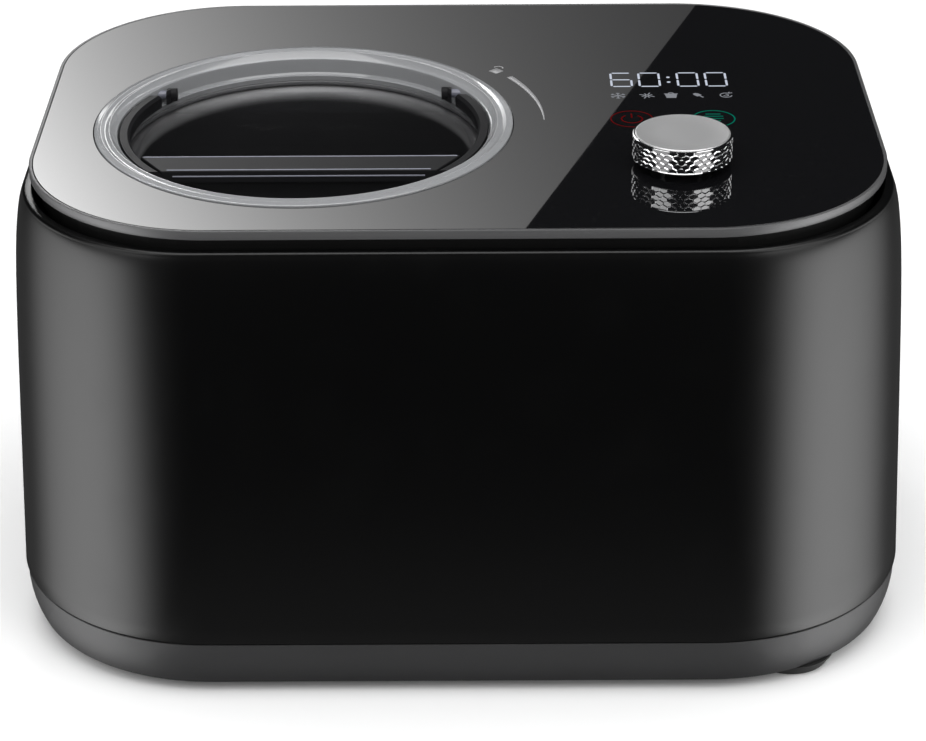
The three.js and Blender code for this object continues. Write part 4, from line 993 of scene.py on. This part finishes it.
def makeFlap():
    # the D-shaped frame: a ring band cut off straight at the hinge and closed by the front bar
    low = flapLow.z
    high = flapHigh.z
    outer = flap["radius"]
    inner = outer - flap["frame"]
    profile = [(outer, low), (outer, high), (inner + 1.1 * mm, high), (inner, high - 1.3 * mm),
               (inner, low)]
    bm = turned(profile, segments=144, centre=(wellX, wellY))
    bmesh.ops.recalc_face_normals(bm, faces=bm.faces)
    cutAcross(bm, flap["front"], flap["hinge"] - 0.2 * mm, fill=True)
    ringPiece = asPiece("flapFrame", bm, "flap_body", materials["smokeFlap"], ["refill_flap"],
                        angle=30)
    reliefs = []
    for side in (-1, 1):
        xs = sorted((wellX + side * flap["relief"], wellX + side * (outer + 5 * mm)))
        reliefs.append(boxMesh((xs[0], wellY + flap["hinge"] - flap["reliefDepth"], low - 5 * mm),
                               (xs[1], wellY + flap["hinge"] + 6 * mm, high + 5 * mm)))
    cutAway(ringPiece, reliefs)
    addBevel(ringPiece, flap["ease"] * 0.6, 2, 40)
    barBack = flap["front"] + flap["bar"]
    reach = inner - 0.2 * mm
    halfBack = math.sqrt(reach ** 2 - barBack ** 2)
    halfMid = math.sqrt(reach ** 2 - (flap["front"] + 0.6 * mm) ** 2)
    bm = bmesh.new()
    outline = [(-halfMid, flap["front"] + 0.3 * mm), (halfMid, flap["front"] + 0.3 * mm),
               (halfBack, barBack), (-halfBack, barBack)]
    face = bm.faces.new([bm.verts.new((wellX + x, wellY + y, low + 0.4 * mm)) for x, y in outline])
    made = bmesh.ops.extrude_face_region(bm, geom=[face])
    bmesh.ops.translate(bm, verts=vertsOf(made), vec=(0, 0, high - low - 0.4 * mm))
    bar = asPiece("flapBar", bm, "flap_body", materials["smokeFlap"])
    addBevel(bar, flap["ease"], 3, 40)
    # painted highlight: the beads along the bar's top edges and lower front are moulded beads, but they
    # take a lighter bluish grey than the smoked bar to stand in for the highlight lines on those edges
    beads = (("flapBeadBack", barBack - 0.9 * mm, high - 0.12 * mm, halfBack - 1.5 * mm),
             ("flapBeadFront", flap["front"] + 1.5 * mm, high - 0.12 * mm, halfMid - 2.5 * mm),
             ("flapBeadLower", flap["front"] + 0.45 * mm, high - 2.5 * mm, halfMid - 5.0 * mm))
    sideways = Matrix.Rotation(math.pi / 2, 4, "Y")
    for name, y, z, half in beads:
        bm = bmesh.new()
        place = Matrix.Translation((wellX, wellY + y, z))
        bmesh.ops.create_cone(bm, cap_ends=True, segments=12, radius1=flap["bead"],
                              radius2=flap["bead"], depth=2 * half, matrix=place @ sideways)
        asPiece(name, bm, "flap_body", materials["beadGrey"])
    paneZ = (low + high) / 2
    for name, side in (("flapKnuckleLeft", -1), ("flapKnuckleRight", 1)):
        bm = bmesh.new()
        x = wellX + side * (flap["relief"] - 2.4 * mm)
        place = Matrix.Translation((x, wellY + flap["hinge"], paneZ))
        bmesh.ops.create_cone(bm, cap_ends=True, segments=24, radius1=flap["knuckle"],
                              radius2=flap["knuckle"], depth=flap["knuckleWidth"],
                              matrix=place @ sideways)
        knuckle = asPiece(name, bm, "flap_body", materials["smokeFlap"])
        addBevel(knuckle, 0.4 * mm, 2, 40)
    bm = bmesh.new()
    bmesh.ops.create_circle(bm, cap_ends=True, radius=inner - 0.1 * mm, segments=144,
                            matrix=Matrix.Translation((wellX, wellY, paneZ + flap["pane"] / 2)))
    cutAcross(bm, barBack + 0.1 * mm, flap["hinge"] - 0.4 * mm)
    pane = asPiece("flapPane", bm, "flap_body", materials["clearPane"],
                   outward=False)
    for polygon in pane.data.polygons:
        if polygon.normal.z < 0:
            polygon.flip()
    addThickness(pane, flap["pane"], -1)


makeLidRing()
makeLidWeb()
for lugIndex in range(lid["lugs"]):
    makeLug(lugIndex)
makeFlap()
print("lid made")

# well: collar, seal, bowl and drum
collar = {"wide": 6.5 * mm, "skirt": 4 * mm, "flange": 2.5 * mm, "tabReach": 3 * mm}
seal = {"wide": 3.2 * mm, "groove": 0.5 * mm}
bowl = {"radius": 74 * mm, "wall": 1.5 * mm, "lip": 5 * mm, "rim": 2.5 * mm, "tube": 5.83 * mm,
        "tubeHeight": 13 * mm, "bend": 6 * mm}
drum = {"play": 0.8 * mm, "wall": 1.2 * mm, "hole": 9.9 * mm, "bend": 6 * mm, "lip": 5 * mm}


def makeCollar():
    outer = (collarHigh.x - collarLow.x) / 2
    inner = outer - collar["wide"]
    skirt = outer - collar["skirt"]
    low = collarLow.z
    high = collarHigh.z
    under = high - collar["flange"]
    profile = [(inner, low), (skirt - 0.3 * mm, low), (skirt, low + 0.3 * mm), (skirt, under),
               (outer, under), (outer, high),
               (inner + 1.2 * mm, high), (inner + 0.3 * mm, high - 0.3 * mm), (inner, high - 1.2 * mm)]
    bm = turned(profile, segments=128, centre=(wellX, wellY))
    asPiece("wellCollar", bm, "base_body", materials["linerGrey"], ["well_collar"])
    tip = inner - collar["tabReach"]
    root = inner + 0.5 * mm
    corners = [(tip, high - 2.4 * mm), (root, high - 2.9 * mm), (root, high), (tip, high - 0.4 * mm)]
    for i in range(lid["lugs"]):
        asPiece("collarTab%d" % (i + 1), bayonetBlock(corners, 60 + 120 * i), "base_body",
                materials["linerGrey"])


def makeSeal():
    outer = (sealHigh.x - sealLow.x) / 2
    low = sealLow.z
    high = sealHigh.z
    inner = outer - seal["wide"]
    groove = low + seal["groove"]
    profile = [(inner, groove), (inner + 0.3 * mm, low + 0.1 * mm), (outer - 2.2 * mm, low),
               (outer - 1.9 * mm, groove), (outer - 1.5 * mm, groove), (outer - 1.2 * mm, low),
               (outer - 0.3 * mm, low), (outer, low + 0.3 * mm), (outer, high - 0.3 * mm),
               (outer - 0.3 * mm, high), (inner + 0.3 * mm, high), (inner, high - 0.3 * mm)]
    bm = turned(profile, segments=128, centre=(wellX, wellY))
    asPiece("lidSeal", bm, "seal_body", materials["siliconeGrey"], ["lid_seal"])


def makeBowl():
    r = bowl["radius"]
    w = bowl["wall"]
    lip = bowl["lip"]
    rim = bowlHigh.z
    under = bowlLow.z
    floor = under + w
    flange = (bowlHigh.x - bowlLow.x) / 2
    tubeTop = floor + bowl["tubeHeight"]
    tube = bowl["tube"]
    bend = bowl["bend"]
    profile = [(tube, under)] + arc(r + w - bend, under + bend, bend, -90, 0, 8)
    profile += arc(r + w + lip, rim - bowl["rim"] - lip, lip, 180, 90, 6)
    profile += [(flange - 0.8 * mm, rim - bowl["rim"])]
    profile += arc(flange - 0.8 * mm, rim - 1.7 * mm, 0.8 * mm, -90, 0, 3)
    profile += arc(flange - 0.8 * mm, rim - 0.8 * mm, 0.8 * mm, 0, 90, 3)
    profile += arc(r + lip, rim - lip, lip, 90, 180, 10)
    profile += [(r, rim - 30 * mm), (r, floor + 30 * mm)]
    profile += arc(r - bend, floor + bend, bend, 0, -90, 8)
    profile += [(r - 20 * mm, floor), (tube + 6 * mm, floor), (tube + 3.4 * mm, floor + 1.5 * mm),
                (tube + 2.9 * mm, floor + 4 * mm), (tube + 2.4 * mm, tubeTop - 0.5 * mm),
                (tube + 1.9 * mm, tubeTop), (tube + 0.4 * mm, tubeTop), (tube, tubeTop - 0.4 * mm)]
    bm = turned(profile, segments=128, centre=(wellX, wellY))
    # the bowl's inside carries painted shade below the rim
    asPiece("mixingBowl", bm, "bowl_body", materials["bowlPaintedShade"], ["bowl"],
            angle=50)


def makeDrum():
    outer = (drumHigh.x - drumLow.x) / 2
    r = bowl["radius"] + bowl["wall"] + drum["play"]
    w, bend, lip, hole = drum["wall"], drum["bend"], drum["lip"], drum["hole"]
    low = drumLow.z
    high = drumHigh.z
    profile = [(hole, low)] + arc(r + w - bend, low + bend, bend, -90, 0, 6)
    profile += arc(r + w + lip, high - w - lip, lip, 180, 90, 6)
    profile += [(outer, high - w), (outer, high)]
    profile += arc(r + 5.6 * mm, high - 5.6 * mm, 5.6 * mm, 90, 180, 8)
    profile += arc(r - bend, low + w + bend, bend, 0, -90, 6) + [(hole, low + w)]
    bm = turned(profile, segments=112, centre=(wellX, wellY))
    asPiece("coolingDrum", bm, "base_body", materials["drumAluminium"], ["evaporator_drum"],
            angle=50)


makeCollar()
makeSeal()
makeBowl()
makeDrum()
print("well made")

# knob: a knurled plated ring with a satin cap
knob = {"rows": 5, "columns": 72, "zigzag": 0.2, "bank": 0.34 * mm, "relief": 0.42 * mm,
        "edge": 0.4 * mm, "capInset": 1.0 * mm, "capDepth": 1.6 * mm, "hub": (3.3 * mm, 7 * mm)}


def grownLoop(bm, edges):
    # extrudes a loop and gives back the new loop and its points
    made = bmesh.ops.extrude_edge_only(bm, edges=edges)
    fresh = vertsOf(made)
    known = set(fresh)
    return [e for e in edgesOf(made) if known.issuperset(e.verts)], fresh


def makeKnurl():
    radius = (gripHigh.x - gripLow.x) / 2
    low = gripLow.z
    high = capHigh.z - 0.35 * mm
    edge = knob["edge"]
    bm = bmesh.new()
    bmesh.ops.create_circle(bm, radius=radius, segments=knob["columns"],
                            matrix=Matrix.Translation((knobX, knobY, low + edge)))
    first = list(bm.edges)
    loop = first
    step = (high - low - 2 * edge) / knob["rows"]
    for _ in range(knob["rows"]):
        loop, fresh = grownLoop(bm, loop)
        bmesh.ops.translate(bm, verts=fresh, vec=(0, 0, step))

    def crossing(v):
        column = round(math.atan2(v.co.y - knobY, v.co.x - knobX) / (2 * math.pi) * knob["columns"])
        return column % knob["columns"], round((v.co.z - low - edge) / step)

    # every other upright is taken out and the rest zigzag, which leaves a net of hexagons
    spare = []
    for e in bm.edges:
        (columnA, rowA), (columnB, rowB) = (crossing(v) for v in e.verts)
        if columnA == columnB and (columnA + min(rowA, rowB)) % 2:
            spare.append(e)
    zigzag = [(v, 1 if sum(crossing(v)) % 2 == 0 else -1) for v in bm.verts
              if 0 < crossing(v)[1] < knob["rows"]]
    for v, direction in zigzag:
        v.co.z += direction * step * knob["zigzag"]
    bmesh.ops.dissolve_edges(bm, edges=spare, use_verts=False)
    bmesh.ops.recalc_face_normals(bm, faces=bm.faces)
    middle = Vector((knobX, knobY, 0))
    for f in bm.faces:
        if f.normal.dot(f.calc_center_median() - middle) < 0:
            f.normal_flip()
    bmesh.ops.inset_individual(bm, faces=list(bm.faces), thickness=knob["bank"],
                               depth=-knob["relief"], use_even_offset=True)
    rims = [e for e in bm.edges if e.is_boundary]
    first = [e for e in rims if e.verts[0].co.z < (low + high) / 2]
    loop = [e for e in rims if e.verts[0].co.z > (low + high) / 2]

    def closeEnd(edges, direction):
        for shrink, rise in ((0.1 * mm, 0.6), (0.55 * mm, 1.0), (7 * mm, 1.0)):
            edges, verts = grownLoop(bm, edges)
            z = (low + edge if direction < 0 else high - edge) + direction * edge * rise
            for v in verts:
                out = Vector((v.co.x - knobX, v.co.y - knobY, 0)).normalized()
                v.co = Vector((knobX, knobY, z)) + out * (radius - shrink)
        return edges

    bottom = closeEnd(first, -1)
    upper = closeEnd(loop, 1)
    bmesh.ops.bridge_loops(bm, edges=bottom + upper)
    return asPiece("knurledRing", bm, "knob_body", materials["knobPlating"], ["knob_grip"],
                   angle=12)


def makeKnobCap():
    # the satin disc sits inside the ring's top edge
    r = (gripHigh.x - gripLow.x) / 2 - knob["capInset"]
    high = capHigh.z
    under = high - knob["capDepth"]
    hubIn, hubOut = knob["hub"]
    profile = [(0.0, under), (r - 0.2 * mm, under), (r, under + 0.2 * mm), (r, high - 0.5 * mm)]
    profile += arc(r - 0.45 * mm, high - 0.45 * mm, 0.45 * mm, 0, 90, 5)
    profile += [(r - 0.9 * mm, high - 0.03 * mm), (r - 1.2 * mm, high - 0.1 * mm),
                (r * 0.5, high - 0.16 * mm), (0.0, high - 0.18 * mm)]
    bm = turned(profile, segments=112, closed=False, centre=(knobX, knobY))
    turned([(hubIn, capLow.z), (hubOut, capLow.z), (hubOut, under - 0.1 * mm),
            (hubIn, under - 0.1 * mm)], segments=48, centre=(knobX, knobY), bm=bm)
    asPiece("knobCapDisc", bm, "knob_body", materials["knobFace"], ["knob_cap"],
            angle=30)


def makeKnobCollar():
    r = (knobCollarHigh.x - knobCollarLow.x) / 2
    low = knobCollarLow.z
    high = knobCollarHigh.z
    hole = top["knobHole"]
    profile = [(hole, low), (r - 0.2 * mm, low), (r, low + 0.2 * mm), (r - 0.4 * mm, high - 0.3 * mm),
               (r - 0.8 * mm, high), (hole, high)]
    bm = turned(profile, segments=64, centre=(knobX, knobY))
    asPiece("knobWasher", bm, "base_body", materials["recessBlack"], ["knob_collar"])


makeKnurl()
makeKnobCap()
makeKnobCollar()
print("knob made")

# rear panel screws and a blank label under the base
rear = {"screwInset": 10 * mm, "label": (62 * mm, 34 * mm), "labelAt": (-60 * mm, 40 * mm)}


def makeRearScrews():
    # made facing up, then turned to stand square on the leaning panel
    panel = frame["nodes"]["rear_grille"]
    bpy.context.view_layer.update()
    number = 0
    for x in (grilleLow.x + rear["screwInset"], grilleHigh.x - rear["screwInset"]):
        for z in (grilleLow.z + rear["screwInset"], grilleHigh.z - rear["screwInset"]):
            number += 1
            bm = turned([(0.0, -0.3 * mm), (2.9 * mm, 0.0), (2.8 * mm, 0.5 * mm), (2.2 * mm, 1.2 * mm),
                         (1.2 * mm, 1.5 * mm), (0.0, 1.6 * mm)], segments=28, closed=False)
            for w, d in ((0.7 * mm, 3.2 * mm), (3.2 * mm, 0.7 * mm)):
                bmesh.ops.create_cube(bm, size=1, matrix=Matrix.Translation((0, 0, 1.0 * mm)) @
                                      Matrix.Diagonal((w, d, 0.3 * mm, 1)))
            behind = Vector((x, grilleHigh.y + 50 * mm, z))
            _, spot, facing, _ = panel.ray_cast(behind, Vector((0, -1, 0)))
            turnBack = Matrix.Translation(spot) @ facing.to_track_quat("Z", "Y").to_matrix().to_4x4()
            bmesh.ops.transform(bm, matrix=turnBack, verts=bm.verts)
            asPiece("rearScrew%d" % number, bm, "base_body", materials["plainSteel"],
                    angle=50)


def makeLabel():
    x, y = rear["labelAt"]
    w, d = rear["label"]
    bm = bmesh.new()
    place = Matrix.Translation((x, y, baseLow.z - 0.02 * mm)) @ Matrix.Diagonal((w, d, 1, 1))
    bmesh.ops.create_grid(bm, x_segments=1, y_segments=1, size=0.5, matrix=place)
    bmesh.ops.bevel(bm, geom=list(bm.verts), offset=2 * mm, affect="VERTICES", segments=4, profile=0.5,
                    material=-1)
    bmesh.ops.reverse_faces(bm, faces=bm.faces)
    label = asPiece("baseLabel", bm, "base_body", materials["labelGrey"],
                    outward=False)
    addThickness(label, 0.1 * mm, 1)


makeRearScrews()
makeLabel()

# every CAD node that still shows takes the finish of its slot
slotFinish = {"moulded_black": "mouldedBlack", "rubber_black": "rubberBlack", "steel": "plainSteel",
              "nylon": "naturalNylon", "copper": "copperTube", "compressor_paint": "enamelBlack",
              "foam": "foamYellow", "circuit": "boardGreen", "bowl_aluminium": "drumAluminium",
              "housing_paint": "satinBlack", "black_glass": "blackGlass", "trim_metal": "trimMetal",
              "lid_clear": "clearLid", "flap_smoke": "smokeFlap", "silicone": "siliconeGrey",
              "knob_chrome": "knobPlating", "knob_aluminium": "knobFace"}
for subpart in frame["record"]["subparts"]:
    node = frame["nodes"][subpart["node"]]
    if subpart["node"] in ("top_deck", "paddle"):
        continue
    for materialSlot in node.material_slots:
        materialSlot.material = materials[slotFinish[subpart["material_slot"]]]
for node in ("flap_pin_left", "flap_pin_right"):
    frame["nodes"][node].material_slots[0].material = materials["beadGrey"]
for node in ("rear_grille", "cord_gland"):
    frame["nodes"][node].material_slots[0].material = materials["ventBlack"]

# studio
studio = {"floorSize": 14.0, "floorTone": 0.9, "seenAir": 1.0, "softAir": 0.62, "darkAir": 0.012,
          "backY": 1.2, "backLeft": -0.5, "backZ": (0.5, 1.1), "backScale": 5.0,
          "backEdge": ((0.1964, 0.6135), (0.0530, 0.8203)), "sideX": 0.95, "sideY": (-1.6, 1.9),
          "sideZ": (-1.0, 0.25), "leftLevel": 4.4, "rightLevel": 4.9, "seamLevel": 0.2}
lamps = {"overhead": dict(size=(1.7, 1.9), power=28, place=(0.0, -0.2, 1.9), aim=(0, -0.2, 0)),
         "frontLeft": dict(size=(1.3, 1.2), power=9, place=(-1.3, -1.1, 1.2), aim=(0, 0, 0.15)),
         "frontRight": dict(size=(1.3, 1.2), power=13, place=(1.3, -1.1, 1.2), aim=(0, 0, 0.15))}


def stagePlane(name, corners, material):
    bm = bmesh.new()
    bm.faces.new([bm.verts.new(c) for c in corners])
    mesh = bpy.data.meshes.new(name)
    bm.to_mesh(mesh)
    bm.free()
    mesh.materials.append(material)
    plane = bpy.data.objects.new(name, mesh)
    bpy.context.collection.objects.link(plane)
    return plane


def makeFloor():
    material, nodes, links, shader = newMaterial("paleFloor")
    shader.inputs["Base Color"].default_value = (*([studio["floorTone"]] * 3), 1)
    shader.inputs["Roughness"].default_value = 0.85
    shader.inputs["Specular IOR Level"].default_value = 0.1
    s = studio["floorSize"] / 2
    floor = stagePlane("floor", [(-s, -s, 0), (s, -s, 0), (s, s, 0), (-s, s, 0)], material)
    floor.visible_glossy = False


def cardMaterial(name, levelAt, strength):
    # an even or graded light card; levelAt builds the brightness from the place on the card
    material = bpy.data.materials.new(name)
    material.use_nodes = True
    tree = material.node_tree
    tree.nodes.clear()
    out = tree.nodes.new("ShaderNodeOutputMaterial")
    glow = tree.nodes.new("ShaderNodeEmission")
    place = tree.nodes.new("ShaderNodeTexCoord")
    parts = tree.nodes.new("ShaderNodeSeparateXYZ")
    tree.links.new(place.outputs["Object"], parts.inputs["Vector"])
    level = levelAt(tree, parts)
    tree.links.new(mathNode(tree, "MULTIPLY", level, strength), glow.inputs["Strength"])
    tree.links.new(glow.outputs["Emission"], out.inputs["Surface"])
    return material


def smoothRamp(tree, value, start, end, low=0.0, high=1.0):
    node = tree.nodes.new("ShaderNodeMapRange")
    node.interpolation_type = "SMOOTHSTEP"
    setSockets(node, {"From Min": start, "From Max": end, "To Min": low, "To Max": high})
    tree.links.new(value, node.inputs["Value"])
    return node.outputs["Result"]


def backCardLevel(tree, parts):
    # brightest at the left and high up, falling away evenly to the right
    across = mathNode(tree, "MULTIPLY", parts.outputs["X"], -4.9)
    height = mathNode(tree, "MULTIPLY", parts.outputs["Z"], 3.5)
    power = mathNode(tree, "ADD", mathNode(tree, "ADD", across, height), -4.835)
    level = mathNode(tree, "EXPONENT", power)
    return mathNode(tree, "ADD", level, 0.014)


def sideCardLevel(tree, parts):
    # brightest beside the front corner, soft toward the front and dim toward the back
    y = parts.outputs["Y"]
    return mathNode(tree, "MULTIPLY", smoothRamp(tree, y, -1.45, -0.5),
                    smoothRamp(tree, y, -0.55, 0.55, 1, 0.02))


def seamLevel(tree, parts):
    # a faint light that only the lowest part of the front picks up
    return smoothRamp(tree, parts.outputs["Y"], -0.4, -0.17)


def makeCards():
    y = studio["backY"]
    left = studio["backLeft"]
    low, high = studio["backZ"]
    (x0, z0), (x1, z1) = studio["backEdge"]
    slope = (x1 - x0) / (z1 - z0)
    corners = [(left, y, low), (x0 + slope * (low - z0), y, low), (x0 + slope * (high - z0), y, high),
               (left, y, high)]
    back = stagePlane("backCard", corners,
                      cardMaterial("backGlow", backCardLevel, studio["backScale"]))
    back.visible_camera = False
    back.visible_shadow = False
    (near, far), (under, over) = studio["sideY"], studio["sideZ"]
    for name, x, strength in (("leftCard", -studio["sideX"], studio["leftLevel"]),
                              ("rightCard", studio["sideX"], studio["rightLevel"])):
        card = stagePlane(name, [(x, near, under), (x, far, under), (x, far, over), (x, near, over)],
                          cardMaterial(name + "Glow", sideCardLevel, strength))
        card.visible_camera = False
        card.visible_diffuse = False
        card.visible_shadow = False
    seam = stagePlane("seamGlow", [(-0.15, -0.4, 0.0004), (0.15, -0.4, 0.0004),
                                   (0.15, -0.152, 0.0004), (-0.15, -0.152, 0.0004)],
                      cardMaterial("seamLight", seamLevel, studio["seamLevel"]))
    seam.visible_camera = False
    seam.visible_diffuse = False
    seam.visible_shadow = False
    seam.visible_transmission = False


def makeLight(name, size, power, place, aim):
    light = bpy.data.lights.new(name, "AREA")
    light.shape = "RECTANGLE"
    light.size, light.size_y = size
    light.energy = power
    lamp = bpy.data.objects.new(name, light)
    lamp.location = place
    lamp.rotation_euler = (Vector(aim) - Vector(place)).to_track_quat("-Z", "Y").to_euler()
    bpy.context.collection.objects.link(lamp)
    return lamp


def makeWorld():
    # white to the camera, softer as light on surfaces, and nearly dark in reflections
    world = bpy.data.worlds.new("studioAir")
    bpy.context.scene.world = world
    world.use_nodes = True
    tree = world.node_tree
    tree.nodes.clear()

    def air(color, strength):
        node = tree.nodes.new("ShaderNodeBackground")
        setSockets(node, {"Color": color, "Strength": strength})
        return node.outputs["Background"]

    def choose(question, no, yes):
        mix = tree.nodes.new("ShaderNodeMixShader")
        tree.links.new(path.outputs[question], mix.inputs["Fac"])
        tree.links.new(no, mix.inputs[1])
        tree.links.new(yes, mix.inputs[2])
        return mix.outputs["Shader"]

    path = tree.nodes.new("ShaderNodeLightPath")
    dark = air((0.9, 0.95, 1, 1), studio["darkAir"])
    light = choose("Is Diffuse Ray", dark, air((1, 1, 1, 1), studio["softAir"]))
    seen = choose("Is Camera Ray", light, air((1, 1, 1, 1), studio["seenAir"]))
    out = tree.nodes.new("ShaderNodeOutputWorld")
    tree.links.new(seen, out.inputs["Surface"])


eye = {"lens": 114.43, "sensor": 36, "shift": -0.0221, "forward": (-0.003835, 0.893411, -0.449225),
       "roll": -0.405, "place": (6.67, -1227.35, 495.32)}  # place in mm, from the middle of the plate


def makeCamera():
    data = bpy.data.cameras.new("camera")
    camera = bpy.data.objects.new("camera", data)
    bpy.context.collection.objects.link(camera)
    data.lens = eye["lens"]
    data.sensor_width = eye["sensor"]
    data.shift_y = eye["shift"]
    forward = Vector(eye["forward"]).normalized()
    right = forward.cross(Vector((0, 0, 1))).normalized()
    up = right.cross(forward)
    roll = math.radians(eye["roll"])
    side = right * math.cos(roll) + up * math.sin(roll)
    upward = up * math.cos(roll) - right * math.sin(roll)
    turn = Matrix((side, upward, -forward)).transposed()
    place = Vector(eye["place"]) * mm + Vector((0, 0, plateZ))
    camera.matrix_world = Matrix.Translation(place) @ turn.to_4x4()
    bpy.context.scene.camera = camera


makeFloor()
makeCards()
makeWorld()
makeCamera()
for lampName, values in lamps.items():
    makeLight(lampName, **values)
bpy.context.scene.view_settings.view_transform = "Standard"
print("studio made")
